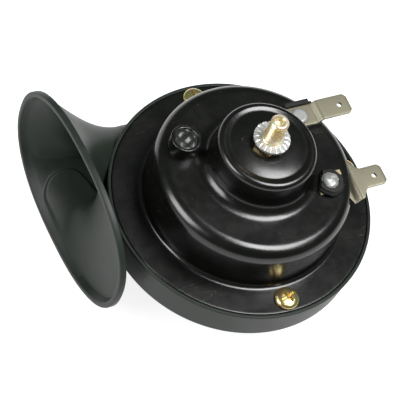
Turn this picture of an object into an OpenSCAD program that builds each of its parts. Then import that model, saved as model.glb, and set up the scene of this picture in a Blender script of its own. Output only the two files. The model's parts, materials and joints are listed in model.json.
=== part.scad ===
// Electric snail horn: a steel pot with an electromagnet, a diaphragm and a contact breaker,
// screwed to a moulded spiral duct that ends in an oval bell. Millimetres, +Z out along the fixing
// stud. The origin is on the stud's axis, where its thread leaves the collar, just above the
// toothed washer that the vehicle's bracket is clamped on. Heights below are measured from the
// top of the moulded rim.

/* [Moulded housing] */
// Outer diameter of the moulded rim
rim_d = 76; // [74:0.5:84]
// Width of the rim's lip around the steel flange
rim_lip_w = 0.95; // [0.8:0.05:1.2]
// Height of the rim's edge above the tapered wall
rim_edge_h = 0.9; // [0.7:0.1:2]
// How far the rim's edge stands out from the wall
rim_step = 0.15; // [0.1:0.05:0.25]
// Radius on the rim's upper edge
rim_round = 0.3; // [0.2:0.05:0.4]
// Outer diameter of the side wall at its foot, where it has tapered in
body_d = 74.6; // [73.6:0.2:75.2]
// Height of the rear half, from the rim's top to the parting plane
rear_h = 9.6; // [9:0.1:12]
// Thickness of the front half's plate
front_t = 1.8; // [1.4:0.1:3]
// Radius on the front plate's outer edge
front_edge_r = 1.4; // [0.6:0.1:1.4]
// Thickness of the rear half's side wall
side_wall_t = 1.6; // [1.2:0.1:2]
// Depth of the diaphragm's chamber below its seat
chamber_h = 1.5; // [1:0.1:2]
// Thickness of the floor between the chamber and the duct
floor_t = 1.2; // [1:0.1:1.6]
// Diameter of the throat, from the chamber's floor into the start of the duct
throat_d = 7; // [5:0.5:8]
// Width of the small lug under the front edge
lug_w = 5; // [3:0.5:8]
// Length of the lug, towards the stud's axis
lug_len = 3; // [2:0.5:5]
// How far the lug stays inside the side wall's face
lug_inset = 1; // [0.6:0.1:2]
// How far the lug stands below the front plate
lug_h = 1.2; // [0.6:0.1:2]
// Angle of the lug round the stud's axis
lug_angle = -58; // [-80:1:-40]

/* [Spiral duct] */
// Inner radius of the duct where it starts, under the throat
duct_r_start = 3.6; // [3.6:0.1:4.5]
// Inner radius of the duct where it leaves the housing
duct_r_end = 8.4; // [7.4:0.1:8.6]
// Thickness of the duct's wall
duct_wall_t = 1.7; // [1.2:0.1:2]
// Distance from the stud's axis to the duct's centre at its start
duct_start_reach = 6; // [5.6:0.1:6.4]
// Distance from the stud's axis to the duct's centre at its exit
duct_exit_reach = 26.3; // [25:0.1:26.6]
// Angle through which the duct turns, in degrees
duct_sweep = 400; // [360:10:420]

/* [Bell] */
// Width of the mouth over its lip
mouth_w = 64.6; // [58:0.2:68]
// Height of the mouth over its lip
mouth_h = 45.2; // [42:0.2:48]
// Distance from the stud's axis to the mouth's front plane
mouth_reach = 45; // [44:0.5:50]
// Sideways offset of the mouth's centre
mouth_y = 16; // [14:0.5:18]
// Height of the mouth's centre
mouth_z = -7.9; // [-10:0.1:-7]
// Turn of the mouth's plane about the stud's direction
mouth_turn = 2.6; // [0:0.1:6]
// Depth of the lip round the mouth
lip_depth = 1.8; // [1.4:0.1:3]
// How far the lip stands out from the bell
lip_proud = 0.8; // [0.4:0.1:1.2]
// Thickness of the bell's wall
bell_wall_t = 1.7; // [1.2:0.1:2]

/* [Steel pot] */
// Thickness of the pot's sheet
sheet_t = 1.2; // [0.8:0.1:1.4]
// Gap between the flange's edge and the rim's lip
flange_gap = 0.15; // [0.1:0.05:0.3]
// Outer diameter of the pot's wall
pot_d = 56.4; // [56:0.2:57]
// Height of the pot's flat top above the rim
pot_h = 16.2; // [15.8:0.1:16.8]
// Radius where the wall meets the flange
pot_foot_r = 1.5; // [1:0.1:1.8]
// Radius of the pot's shoulder
pot_shoulder_r = 4; // [3:0.1:4.4]
// Outer diameter of the central boss
boss_d = 27.7; // [27:0.1:28.4]
// Height of the boss's dome above the rim
boss_h = 28; // [27.6:0.1:30]
// Radius where the boss meets the pot's top
boss_foot_r = 3.9; // [3:0.1:4.2]
// Radius of the bead round the boss's edge
boss_bead_r = 1.6; // [1.4:0.1:1.8]
// How far the bead stays below the dome's middle
bead_drop = 0.4; // [0.2:0.05:0.6]
// How far the dome falls from its middle to the groove inside the bead
dome_drop = 1.2; // [1:0.05:1.4]

/* [Fixing stud] */
// Diameter of the stud's thread
stud_d = 5; // [4.8:0.1:5.2]
// Length of the stud above the washer's face
stud_len = 7.7; // [6:0.1:14]
// Diameter of the collar at the stud's foot
stud_collar_d = 5.9; // [5.6:0.1:6.2]
// Height of the collar above the washer's face
stud_collar_h = 0.5; // [0.2:0.1:0.6]
// Chamfer on the stud's tip
stud_chamfer = 0.5; // [0.3:0.1:0.8]
// Width across the flats of the socket in the tip
socket_af = 2.5; // [2:0.5:3]
// Depth of the socket
socket_depth = 2.2; // [1:0.1:3]
// Width across the flats of the hexagon nut
stud_nut_af = 8; // [7:0.5:9]
// Thickness of the hexagon nut
stud_nut_h = 2.2; // [1.6:0.1:3]
// Outer diameter of the toothed washer
washer_d = 10.2; // [9:0.1:11]
// Thickness of the toothed washer
washer_t = 0.8; // [0.6:0.1:1]
// Number of teeth on the washer
washer_teeth = 16; // [12:1:20]
// Width of the grooves between the teeth
groove_w = 0.6; // [0.4:0.05:0.8]
// Depth of the grooves between the teeth
tooth_depth = 0.25; // [0.15:0.05:0.3]

/* [Flange screws] */
// How far the screws' centres stay inside the diaphragm's edge
screw_inset = 3.1; // [2.9:0.1:3.3]
// Diameter of the screw's shank
screw_d = 3; // [2.5:0.1:3.2]
// Length of the screw under its head
screw_len = 6.5; // [5:0.5:6.5]
// Diameter of the screw's head
screw_head_d = 6.9; // [6:0.1:7]
// Height of the screw's head
screw_head_h = 1.9; // [1.6:0.1:2.4]
// Clearance round the shank in the clamped sheets
screw_clearance = 0.3; // [0.2:0.05:0.4]

/* [Diaphragm] */
// Thickness of the diaphragm
diaphragm_t = 0.3; // [0.2:0.05:0.4]
// Gap between the diaphragm's edge and the rim's lip, which the gaskets keep too
diaphragm_gap = 0.75; // [0.5:0.05:1]
// Thickness of each gasket
gasket_t = 0.4; // [0.3:0.05:0.5]
// Width of each gasket's ring
gasket_w = 5.5; // [5.2:0.1:5.8]
// How far the chamber's wall stands inside the gaskets
chamber_step = 0.3; // [0.2:0.05:0.5]
// Height of the diaphragm's dish
dish_h = 1.6; // [1.2:0.1:1.8]
// Diameter of the flat in the diaphragm's middle
dish_flat_d = 19; // [18:0.5:22]
// Diameter of the plates that clamp the diaphragm's middle
clamp_plate_d = 16; // [14:0.5:17]
// Thickness of those plates
clamp_plate_t = 0.8; // [0.5:0.1:1]
// Width across the flats of the nut under the diaphragm
clamp_nut_af = 8; // [7:0.5:9]
// Thickness of that nut
clamp_nut_h = 2.2; // [1.6:0.1:2.3]

/* [Electromagnet] */
// Diameter of the armature's upper part
armature_d = 11; // [10:0.2:11.4]
// Diameter of the armature's lower part
armature_stem_d = 9; // [8:0.2:9.6]
// Diameter of the armature's threaded neck
armature_neck_d = 5; // [4:0.1:5]
// Air gap between the armature and the fixed core at rest
air_gap = 0.8; // [0.7:0.05:1]
// Height of the gap's lower side above the rim
armature_top = 18.4; // [18:0.1:19]
// Diameter of the fixed core
core_d = 12; // [11.6:0.1:12.4]
// Clearance round the core in the bobbin
core_clearance = 0.1; // [0.05:0.05:0.2]
// Thickness of the bobbin's tube
bobbin_tube_t = 0.8; // [0.6:0.1:1]
// Thickness of the bobbin's end flanges
bobbin_flange_t = 0.9; // [0.7:0.1:1.2]
// Clearance between the bobbin and the boss
bobbin_clearance = 0.4; // [0.3:0.05:0.5]
// How far the winding stays inside the bobbin's flanges
winding_inset = 0.5; // [0.3:0.1:1]
// Thickness of the yoke plate
yoke_t = 1.5; // [1:0.1:1.8]
// Diameter of the yoke plate
yoke_d = 50; // [49:0.2:50.2]
// Gap between the yoke plate's upper face and the inside of the pot's shoulder
yoke_edge_gap = 0.1; // [0.05:0.05:0.3]
// Clearance round the armature in the yoke plate
yoke_clearance = 0.5; // [0.4:0.05:0.7]
// Thickness of the striker on the armature
striker_t = 1.6; // [1:0.1:2]
// Diameter of the striker
striker_d = 17; // [16.4:0.2:18]
// Height of the striker's upper face above the rim
striker_top = 10; // [9.6:0.1:10.2]
// Thickness of the clip under the striker
clip_t = 0.6; // [0.4:0.1:0.8]

/* [Contact breaker] */
// Middle of the leaves, along X
leaf_x = -17.2; // [-17.4:0.1:-17]
// Width of both leaves
leaf_w = 5.6; // [5.2:0.1:5.8]
// Thickness of the moving leaf
moving_leaf_t = 0.25; // [0.15:0.05:0.35]
// Thickness of the fixed leaf
fixed_leaf_t = 0.6; // [0.4:0.05:0.7]
// Where the leaves leave the clamp, along Y
leaf_root_y = -10.4; // [-10.8:0.1:-10]
// Length of the clamped stack along the leaves
stack_len = 6.6; // [6:0.1:6.8]
// Width of the stack's insulators
stack_w = 6.6; // [6:0.1:6.8]
// How far the solder tabs stand out of the stack
tab_len = 1.8; // [1.4:0.1:2.4]
// Where the moving leaf ends, along Y
moving_leaf_end_y = 7; // [6.6:0.1:7.2]
// Half the width of the moving leaf's tongue
tongue_half_w = 2; // [1.5:0.1:2.5]
// Distance from the stud's axis to the tongue's end
tongue_reach = 6.4; // [6.2:0.1:6.8]
// Where the contacts sit, along Y
contact_y = 4.4; // [4:0.1:4.6]
// Diameter of the contacts
contact_d = 4; // [3:0.2:4.4]
// Height of each contact
contact_h = 1; // [0.6:0.1:1.2]
// Thickness of the insulator under the stack
stack_foot_t = 1.2; // [0.8:0.1:1.6]
// Diameter of the stack's screw
stack_screw_d = 3; // [2.5:0.1:3]
// Diameter of the holes in the leaves, clear of the screw
leaf_hole_d = 4; // [3.6:0.1:4.2]
// Gap at each leaf's bending line, between its clamped and its free part
bend_gap = 0.02; // [0.01:0.01:0.04]

/* [Adjuster] */
// Distance from the stud's axis to the adjusting screw
adjuster_reach = 21.2; // [21:0.1:21.4]
// Angle of the adjusting screw round the stud's axis
adjuster_angle = 148.5; // [148:0.1:149]
// Outer diameter of the adjuster's bush
adjuster_bush_d = 8.4; // [7.6:0.1:8.8]
// Diameter of the bush where it passes through the pot
adjuster_neck_d = 6.4; // [6:0.1:6.8]
// Height of the bush above the pot's top
adjuster_bush_h = 4.6; // [4:0.1:5]
// Wall of the bush round the wax
adjuster_cup_wall = 1; // [0.8:0.1:1.2]
// Depth of the wax in the bush
wax_depth = 2.8; // [2:0.1:3]
// Diameter of the adjusting screw
adjuster_screw_d = 4; // [3.5:0.1:4]
// Running clearance round the adjusting screw
adjuster_clearance = 0.05; // [0.02:0.01:0.08]
// Diameter of the insulating button at the screw's end
button_d = 3.2; // [2.6:0.1:3.4]
// Height of the button
button_h = 1; // [0.6:0.1:1.4]
// Width of the screwdriver slot
driver_slot_w = 0.8; // [0.6:0.1:1]
// Depth of the screwdriver slot
driver_slot_depth = 0.9; // [0.6:0.1:1.2]

/* [Terminals] */
// Width of the blades
blade_w = 6.3; // [6:0.1:6.6]
// Thickness of the blades
blade_t = 0.8; // [0.6:0.1:0.8]
// Diameter of the hole in each blade
blade_hole_d = 1.5; // [1.3:0.1:2]
// Distance from a blade's tip to its hole
blade_hole_in = 3.2; // [3:0.1:4]
// Chamfer on the corners of a blade's tip
blade_corner = 1; // [0.6:0.1:1.4]
// Sideways distance of the terminals from the stud's axis
terminal_y = 10.5; // [10.3:0.1:10.6]
// Distance of the rivets from the stud's axis, along X
rivet_x = 17.4; // [17.2:0.1:17.6]
// Where the upper blade's tip ends, along X
top_blade_tip_x = 33; // [32:0.1:35]
// Where the side blade's tip ends, along X
side_blade_tip_x = 36; // [35.6:0.1:38]
// Where the upper terminal starts to rise, along X
top_joggle_x = 22.3; // [21.8:0.1:22.6]
// How far the upper blade rises
top_joggle_h = 1.5; // [1:0.1:1.8]
// Where the side terminal starts to rise, along X
side_joggle_x = 25.1; // [25.1:0.1:25.4]
// How far the side blade rises
side_joggle_h = 1.8; // [1.6:0.1:2]
// Length of each rise along X
joggle_len = 1.2; // [1:0.1:1.4]
// Width of the side terminal's root, where it comes out of the pot
side_root_w = 11.7; // [10:0.1:12]
// Where that root starts to narrow to the blade, along X
side_neck_x = 27.2; // [26.8:0.1:27.6]
// Length over which it narrows
side_neck_len = 2.2; // [1.6:0.1:3]
// Thickness of the insulators under the terminals' rivets
insulator_t = 1.7; // [1.4:0.1:1.9]
// How far the upper insulator reaches past the rivet, along X
insulator_reach = 6.1; // [5.8:0.1:6.2]
// Height of the lip beside the upper terminal, above the insulator
insulator_lip_h = 1.9; // [1.4:0.1:2.2]
// Width of that lip
insulator_lip_w = 1.2; // [0.8:0.1:1.4]
// Gap between that lip and the terminal
insulator_lip_gap = 0.1; // [0.05:0.05:0.2]
// Gap between the insulators and the fillet at the boss's foot
insulator_foot_gap = 0.3; // [0.1:0.05:0.6]
// Diameter of the lower insulator's foot
low_foot_d = 8.4; // [8:0.1:8.8]
// Diameter of the lower insulator's upper part
low_neck_d = 6.4; // [6:0.1:6.8]
// Thickness of the fibre sheet under the lower insulating plate
fibre_t = 0.5; // [0.3:0.1:0.6]
// Width of that sheet along X, from its edge on the boss's side to its tab
fibre_len = 8.7; // [8:0.1:9]
// How far the sheet's tab reaches past the rivet, along X
fibre_reach = 5.1; // [4.8:0.1:5.4]
// Width of the sheet across
fibre_w = 6.9; // [6.4:0.1:7]
// Diameter of the rivets' heads
rivet_head_d = 5; // [4.6:0.1:5.4]
// Height of the rivets' heads
rivet_head_h = 0.9; // [0.6:0.1:1.2]
// Diameter of the rivets' shanks
rivet_d = 3; // [2.6:0.1:3.2]
// Wall of the bushes round the rivets
rivet_bush_t = 0.8; // [0.6:0.1:1]
// Thickness of the inner insulating washers
inner_washer_t = 0.8; // [0.6:0.1:1]
// Room round the side terminal in the pot's slot
slot_room = 0.9; // [0.7:0.1:1]
// Diameter of the inner leads
lead_d = 0.9; // [0.6:0.1:1.2]

/* [Hidden] */

// Facets of round shapes, which the exact rebuild turns back into true curves
$fn = 96;
// Overshoot of cutting shapes
eps = 0.5;

// Radii and heights shared between pieces
rim_r = rim_d / 2;
body_r = body_d / 2;
flange_pocket_r = rim_r - rim_lip_w;
flange_r = flange_pocket_r - flange_gap;
diaphragm_r = flange_pocket_r - diaphragm_gap;
gasket_in_r = diaphragm_r - gasket_w;
chamber_r = gasket_in_r - chamber_step;
screw_circle_r = diaphragm_r - screw_inset;
gasket_low_top = -sheet_t - gasket_t - diaphragm_t;
seat_z = gasket_low_top - gasket_t;
chamber_floor = seat_z - chamber_h;
duct_roof = chamber_floor - floor_t;
throat_bottom = duct_roof - 2 * duct_r_start;
front_bottom = -rear_h - front_t;

pot_r = pot_d / 2;
pot_ceiling = pot_h - sheet_t;
boss_r = boss_d / 2;
boss_foot_x = boss_r + boss_foot_r;
bead_x = boss_r - boss_bead_r;
bead_z = boss_h - bead_drop - boss_bead_r;
boss_ceiling = boss_h - sheet_t;
dome_flat_r = stud_nut_af / 2 + 1;
groove_r = bead_x - 0.8 * boss_bead_r;
groove_z = boss_h - dome_drop;

washer_base = boss_h + stud_nut_h;
washer_top = washer_base + washer_t;
thread_foot = washer_top + stud_collar_h;
stud_r = stud_d / 2;
hex_r_per_af = 1 / sqrt(3);

yoke_bottom = pot_ceiling - yoke_t;
yoke_face_r = min(yoke_d / 2, pot_r - pot_shoulder_r - yoke_edge_gap);
core_bottom = armature_top + air_gap;
stud_foot = core_bottom + 1;
bobbin_bore_r = core_d / 2 + core_clearance;
bobbin_tube_r = bobbin_bore_r + bobbin_tube_t;
bobbin_r = boss_r - sheet_t - bobbin_clearance;
bobbin_top = groove_z - sheet_t - bobbin_clearance / 2;

leaf_left = leaf_x - leaf_w / 2;
stack_back_y = leaf_root_y - stack_len;
stack_y = leaf_root_y - stack_len / 2;
fixed_leaf_top = striker_top - 2 * contact_h;
fixed_leaf_bottom = fixed_leaf_top - fixed_leaf_t;
stack_bottom = fixed_leaf_bottom - stack_foot_t;
tab_x = leaf_x + stack_w / 2 + tab_len;

adjuster_x = adjuster_reach * cos(adjuster_angle);
adjuster_y = adjuster_reach * sin(adjuster_angle);
bush_top = pot_h + adjuster_bush_h;
wax_bottom = bush_top - wax_depth;
button_top = fixed_leaf_top + button_h;
support_leaf_end_y = adjuster_y + button_d / 2 + 0.9;

top_strip_z = pot_h + insulator_t;
side_strip_z = yoke_bottom - inner_washer_t - blade_t;
terminal_ys = [terminal_y, -terminal_y];
screw_angles = [-92, 0, 90];
lead_lift = lead_d / 2 + 0.01;
lead_z = side_strip_z - rivet_head_h - lead_lift;

function arc(cx, cz, r, from, to, steps = 8) =
    [for (i = [0 : steps]) let (a = from + (to - from) * i / steps) [cx + r * cos(a), cz + r * sin(a)]];

function flat(rings) = [for (ring = rings) for (p = ring) p];

// Everything is drawn at its height above the rim and set down to the foot of the stud's thread
module placed() translate([0, 0, -thread_foot]) children();

module disc(r, z0, z1) translate([0, 0, z0]) cylinder(r = r, h = z1 - z0);

module ring(r_in, r_out, z0, z1) difference() {
    disc(r_out, z0, z1);
    disc(r_in, z0 - eps, z1 + eps);
}

module block(x0, x1, y0, y1, z0, z1) translate([x0, y0, z0]) cube([x1 - x0, y1 - y0, z1 - z0]);

module at_screws() for (a = screw_angles) rotate(a) translate([screw_circle_r, 0, 0]) children();

module at_rivets() for (y = terminal_ys) translate([rivet_x, y, 0]) children();

module at_adjuster() translate([adjuster_x, adjuster_y, 0]) children();

// Rings of points, each running counterclockwise about the way the list goes, become a closed solid:
// with end caps, or looped when the last ring meets the first.
module ring_solid(rings, looped = false) {
    n = len(rings[0]);
    m = len(rings);
    last = looped ? m - 1 : m - 2;
    sides = [for (i = [0 : last]) for (j = [0 : n - 1]) let (
        i2 = (i + 1) % m, j2 = (j + 1) % n,
        a = i * n + j, b = i * n + j2, c = i2 * n + j2, d = i2 * n + j) each [[a, c, b], [a, d, c]]];
    caps = looped ? [] : [[for (j = [0 : n - 1]) j], [for (j = [n - 1 : -1 : 0]) (m - 1) * n + j]];
    polyhedron(points = flat(rings), faces = concat(sides, caps));
}

// The duct: a spiral whose centre and bore grow together, then straight out along -X
duct_sides = 18;
duct_steps = 36;
function duct_bore(u) = duct_r_start + (duct_r_end - duct_r_start) * u;
function duct_reach(u) = duct_start_reach + (duct_exit_reach - duct_start_reach) * pow(u, 0.9);
function duct_angle(u) = 90 - duct_sweep * (1 - u);
function duct_ring(u, wall, along = 0) = let (a = duct_angle(u), r = duct_bore(u))
    [for (j = [0 : duct_sides - 1]) let (
        f = 360 * j / duct_sides, out = duct_reach(u) + (r + wall) * cos(f))
        [out * cos(a) - along, out * sin(a), duct_roof - r - (r + wall) * sin(f)]];
module duct(wall, tail) ring_solid(concat(
    [for (i = [0 : duct_steps]) duct_ring(i / duct_steps, wall)],
    [duct_ring(1, wall, tail)]));

module duct_walls(z0, z1) {
    intersection() {
        duct(duct_wall_t, body_r);
        disc(body_r, z0, z1);
    }
    disc(throat_d / 2 + duct_wall_t, max(z0, throat_bottom - duct_wall_t), z1);
}

module duct_air() {
    duct(0, body_r + eps);
    disc(throat_d / 2, throat_bottom, 0);
}

// The bell: closed sections between the round duct and the oval mouth
bell_sides = 44;
bell_steps = 14;
bell_start_x = -0.59 * body_r;
bell_root_x = -0.32 * body_r;
lip_back_x = -mouth_reach + lip_depth;
lip_roundness = 2.32;
function squircle(f, n) = [sign(cos(f)) * pow(abs(cos(f)), 2 / n), sign(sin(f)) * pow(abs(sin(f)), 2 / n)];
function section(x, y, z, half_w, half_h, n, slant) = [for (j = [0 : bell_sides - 1]) let (
    p = squircle(360 * j / bell_sides, n), dy = half_w * p[0])
    [x - slant * dy * tan(mouth_turn), y + dy, z - half_h * p[1]]];
function mix(a, b, f) = a + (b - a) * f;
// How late each side of the bell opens, as a power of the share of its length. Towards the stud and
// downwards it stays by the duct's wall until it is outside the housing, so no gap is left between them.
flare_outwards = 2.4;
flare_inwards = 5;
flare_upwards = 1.4;
flare_downwards = 3;
flare_crowding = 1.2;
// Edges of the section at the share t of the flare
function flare_x(t) = mix(bell_start_x, lip_back_x, 1 - pow(1 - t, flare_crowding));
function flare(t, inset) = let (
    r = duct_r_end + duct_wall_t, zc = duct_roof - duct_r_end,
    w = mouth_w / 2 - lip_proud, h = mouth_h / 2 - lip_proud,
    y1 = mix(duct_exit_reach + r, mouth_y + w, pow(t, flare_outwards)),
    y0 = mix(duct_exit_reach - r, mouth_y - w, pow(t, flare_inwards)),
    z1 = mix(zc + r, mouth_z + h, pow(t, flare_upwards)),
    z0 = mix(zc - r, mouth_z - h, pow(t, flare_downwards)))
    section(flare_x(t), (y0 + y1) / 2, (z0 + z1) / 2, (y1 - y0) / 2 - inset, (z1 - z0) / 2 - inset,
            mix(2, lip_roundness, t), t * t);
function mouth_ring(x, inset) =
    section(x, mouth_y, mouth_z, mouth_w / 2 - inset, mouth_h / 2 - inset, lip_roundness, 1);
function bell_tube(x, inset) = let (r = duct_r_end + duct_wall_t - inset)
    section(x, duct_exit_reach, duct_roof - duct_r_end, r, r, 2, 0);
bell_rings = concat(
    [bell_tube(bell_root_x, 0)],
    [for (i = [0 : bell_steps]) flare(i / bell_steps, 0)],
    [mouth_ring(lip_back_x - 0.1, 0), mouth_ring(-mouth_reach, 0), mouth_ring(-mouth_reach, bell_wall_t)],
    [for (i = [bell_steps : -1 : 0]) flare(i / bell_steps, bell_wall_t)],
    [bell_tube(bell_root_x, duct_wall_t)]);

// The outer side of the rear half, from its foot up over the rim
side_profile = concat(
    [[body_r, -rear_h], [rim_r - rim_step, -rim_edge_h], [rim_r, -rim_edge_h + rim_step]],
    arc(rim_r - rim_round, -rim_round, rim_round, 0, 90, 4));

module snail_rear() color("#2b2f2c") placed() difference() {
    union() {
        rotate_extrude() polygon(concat(side_profile, [
            [flange_pocket_r, 0], [flange_pocket_r, seat_z], [chamber_r, seat_z],
            [chamber_r, chamber_floor], [0, chamber_floor], [0, duct_roof],
            [body_r - side_wall_t, duct_roof], [body_r - side_wall_t, -rear_h]]));
        duct_walls(-rear_h, duct_roof + 0.2);
        intersection() {
            at_screws() disc(screw_d, -rear_h, seat_z);
            disc(body_r, -rear_h, 0);
        }
    }
    duct_air();
    at_screws() disc(screw_d / 2 + 0.02, -rear_h - eps, eps);
}

module snail_front() color("#2b2f2c") placed() difference() {
    union() {
        rotate_extrude() polygon(concat(
            [[0, front_bottom]],
            arc(body_r - front_edge_r, front_bottom + front_edge_r, front_edge_r, -90, 0),
            [[body_r, -rear_h], [0, -rear_h]]));
        duct_walls(duct_roof - 2 * duct_r_end - 3 * duct_wall_t, -rear_h);
        rotate(lug_angle) block(body_r - lug_inset - lug_len, body_r - lug_inset, -lug_w / 2, lug_w / 2,
            front_bottom - lug_h, -rear_h);
    }
    duct_air();
}

module bell() color("#30342f") placed() difference() {
    ring_solid(bell_rings, looped = true);
    rotate_extrude() polygon(concat(
        [[0, -2 * body_r], [body_r, -2 * body_r]], side_profile, [[rim_r - rim_round, eps], [0, eps]]));
}

module pot_cover() {
    foot_x = pot_r + pot_foot_r;
    top_x = pot_r - pot_shoulder_r;
    stud_hole = stud_r + 0.1;
    outside = concat(
        [[flange_r, 0]],
        arc(foot_x, pot_foot_r, pot_foot_r, 270, 180),
        arc(top_x, pot_h - pot_shoulder_r, pot_shoulder_r, 0, 90),
        arc(boss_foot_x, pot_h + boss_foot_r, boss_foot_r, 270, 180),
        arc(bead_x, bead_z, boss_bead_r, 0, 120, 10),
        [for (i = [0 : 6]) let (f = 1 - i / 6) [mix(dome_flat_r, groove_r, f), boss_h - dome_drop * f * f]],
        [[stud_hole, boss_h]]);
    inside = concat(
        [[stud_hole, boss_ceiling], [dome_flat_r - sheet_t / 3, boss_ceiling],
         [groove_r - sheet_t / 2, groove_z - sheet_t], [groove_r + sheet_t / 2, groove_z - sheet_t]],
        arc(bead_x, bead_z, boss_bead_r - sheet_t, 90, 0, 4),
        arc(boss_foot_x, pot_h + boss_foot_r, boss_foot_r + sheet_t, 180, 270),
        arc(top_x, pot_h - pot_shoulder_r, pot_shoulder_r - sheet_t, 90, 0),
        arc(foot_x, pot_foot_r, pot_foot_r + sheet_t, 180, 270),
        [[flange_r, -sheet_t]]);
    color("#15171a") placed() difference() {
        rotate_extrude() polygon(concat(outside, inside));
        at_screws() disc(screw_d / 2 + screw_clearance, -sheet_t - eps, eps);
        at_rivets() disc(rivet_d / 2 + rivet_bush_t, pot_ceiling - eps, pot_h + eps);
        at_adjuster() disc(adjuster_neck_d / 2, pot_ceiling - eps, pot_h + eps);
        terminal_slot();
    }
}

// The slot in the pot's wall and shoulder where the side terminal comes out
module terminal_slot() block(rivet_x, pot_r + eps, -terminal_y - side_root_w / 2 - slot_room,
    -terminal_y + side_root_w / 2 + slot_room, side_strip_z - slot_room,
    side_strip_z + side_joggle_h + blade_t + slot_room / 2);

module clamped_sheet(r_in, z0, z1) difference() {
    ring(r_in, diaphragm_r, z0, z1);
    at_screws() disc(screw_d / 2 + screw_clearance, z0 - eps, z1 + eps);
}

module gasket_upper() color("#6b6255") placed()
    clamped_sheet(gasket_in_r, -sheet_t - gasket_t, -sheet_t);

module gasket_lower() color("#6b6255") placed()
    clamped_sheet(gasket_in_r, seat_z, seat_z + gasket_t);

module diaphragm() {
    rim_top = -sheet_t - gasket_t;
    rim_x = pot_r;
    flat_x = dish_flat_d / 2;
    color("#9aa0a4") placed() difference() {
        rotate_extrude() polygon([
            [armature_neck_d / 2, rim_top + dish_h], [flat_x, rim_top + dish_h], [rim_x, rim_top],
            [diaphragm_r, rim_top], [diaphragm_r, rim_top - diaphragm_t], [rim_x, rim_top - diaphragm_t],
            [flat_x, rim_top + dish_h - diaphragm_t], [armature_neck_d / 2, rim_top + dish_h - diaphragm_t]]);
        at_screws() disc(screw_d / 2 + screw_clearance, rim_top - diaphragm_t - eps, rim_top + eps);
    }
}

module pan_head(r, h) rotate_extrude() polygon(concat(
    [[0, 0], [r, 0], [r, h * 0.35]],
    [for (i = [1 : 7]) let (a = 90 * i / 7) [r * (0.45 + 0.55 * cos(a)), h * (0.35 + 0.65 * sin(a))]],
    [[0, h]]));

module cross_recess(w, d, depth, top) for (a = [0, 90]) rotate(a)
    block(-w / 2, w / 2, -d / 2, d / 2, top - depth, top + eps);

module flange_screws() color("#c9a94a") placed() for (i = [0 : 2]) rotate(screw_angles[i])
    translate([screw_circle_r, 0, 0]) {
        disc(screw_d / 2, -screw_len, 0.1);
        rotate(25 + 40 * i) difference() {
            pan_head(screw_head_d / 2, screw_head_h);
            cross_recess(screw_head_d * 0.55, screw_head_d * 0.14, screw_head_h * 0.6, screw_head_h);
        }
    }

module stud() color("#cdb75c") placed() difference() {
    union() {
        disc(stud_r, stud_foot, washer_top + stud_len - stud_chamfer);
        translate([0, 0, washer_top + stud_len - stud_chamfer])
            cylinder(r1 = stud_r, r2 = stud_r - stud_chamfer, h = stud_chamfer);
        disc(stud_collar_d / 2, washer_base, washer_top + stud_collar_h);
    }
    translate([0, 0, washer_top + stud_len - socket_depth])
        cylinder(r = socket_af * hex_r_per_af, h = socket_depth + eps, $fn = 6);
}

module hex_nut(af, z0, h, bore_r) difference() {
    translate([0, 0, z0]) cylinder(r = af * hex_r_per_af, h = h, $fn = 6);
    disc(bore_r, z0 - eps, z0 + h + eps);
}

module stud_nut() color("#b9903c") placed() hex_nut(stud_nut_af, boss_h, stud_nut_h, stud_r);

module toothed_washer() color("#c8cacc") placed() difference() {
    ring(stud_collar_d / 2, washer_d / 2, washer_base, washer_top);
    for (i = [0 : washer_teeth - 1]) rotate(360 * i / washer_teeth)
        block(stud_collar_d / 2 + 0.5, washer_d, -groove_w / 2, groove_w / 2, washer_top - tooth_depth,
            washer_top + eps);
}

module fixed_core() color("#8d9196") placed() difference() {
    union() {
        disc(core_d / 2, core_bottom, boss_ceiling - 0.6);
        disc(dome_flat_r - 0.6, core_bottom, boss_ceiling);
    }
    disc(stud_r, stud_foot, boss_ceiling + eps);
}

module bobbin() color("#e8e4d6") placed() {
    ring(bobbin_bore_r, bobbin_tube_r, pot_ceiling, bobbin_top);
    ring(bobbin_bore_r, bobbin_r, pot_ceiling, pot_ceiling + bobbin_flange_t);
    ring(bobbin_bore_r, bobbin_r, bobbin_top - bobbin_flange_t, bobbin_top);
}

module coil_winding() color("#a8632a") placed() ring(bobbin_tube_r, bobbin_r - winding_inset,
    pot_ceiling + bobbin_flange_t, bobbin_top - bobbin_flange_t);

module yoke_plate() color("#8a8f92") placed() difference() {
    rotate_extrude() polygon([
        [armature_d / 2 + yoke_clearance, yoke_bottom], [yoke_d / 2, yoke_bottom],
        [yoke_d / 2, pot_ceiling - (yoke_d / 2 - yoke_face_r)], [yoke_face_r, pot_ceiling],
        [armature_d / 2 + yoke_clearance, pot_ceiling]]);
    at_rivets() disc(rivet_d / 2 + rivet_bush_t, yoke_bottom - eps, pot_ceiling + eps);
    at_adjuster() disc(adjuster_neck_d / 2, yoke_bottom - eps, pot_ceiling + eps);
    translate([leaf_x, stack_y, 0]) disc(stack_screw_d / 2, yoke_bottom - eps, pot_ceiling + eps);
    for (p = [lead_hole_feed, lead_hole_breaker]) translate(p)
        disc(lead_d, yoke_bottom - eps, pot_ceiling + eps);
}

module armature() color("#b4b8bb") placed() {
    disc(armature_neck_d / 2, clamp_nut_bottom - 0.2, clamp_plate_top);
    disc(armature_stem_d / 2, clamp_plate_top, striker_top);
    disc(armature_d / 2, striker_top, armature_top);
}

diaphragm_top = -sheet_t - gasket_t + dish_h;
clamp_plate_top = diaphragm_top + clamp_plate_t;
clamp_plate_bottom = diaphragm_top - diaphragm_t - clamp_plate_t;
clamp_nut_bottom = clamp_plate_bottom - clamp_nut_h;

module clamp_plate_upper() color("#a9adb0") placed()
    ring(armature_neck_d / 2, clamp_plate_d / 2, diaphragm_top, clamp_plate_top);

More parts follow.
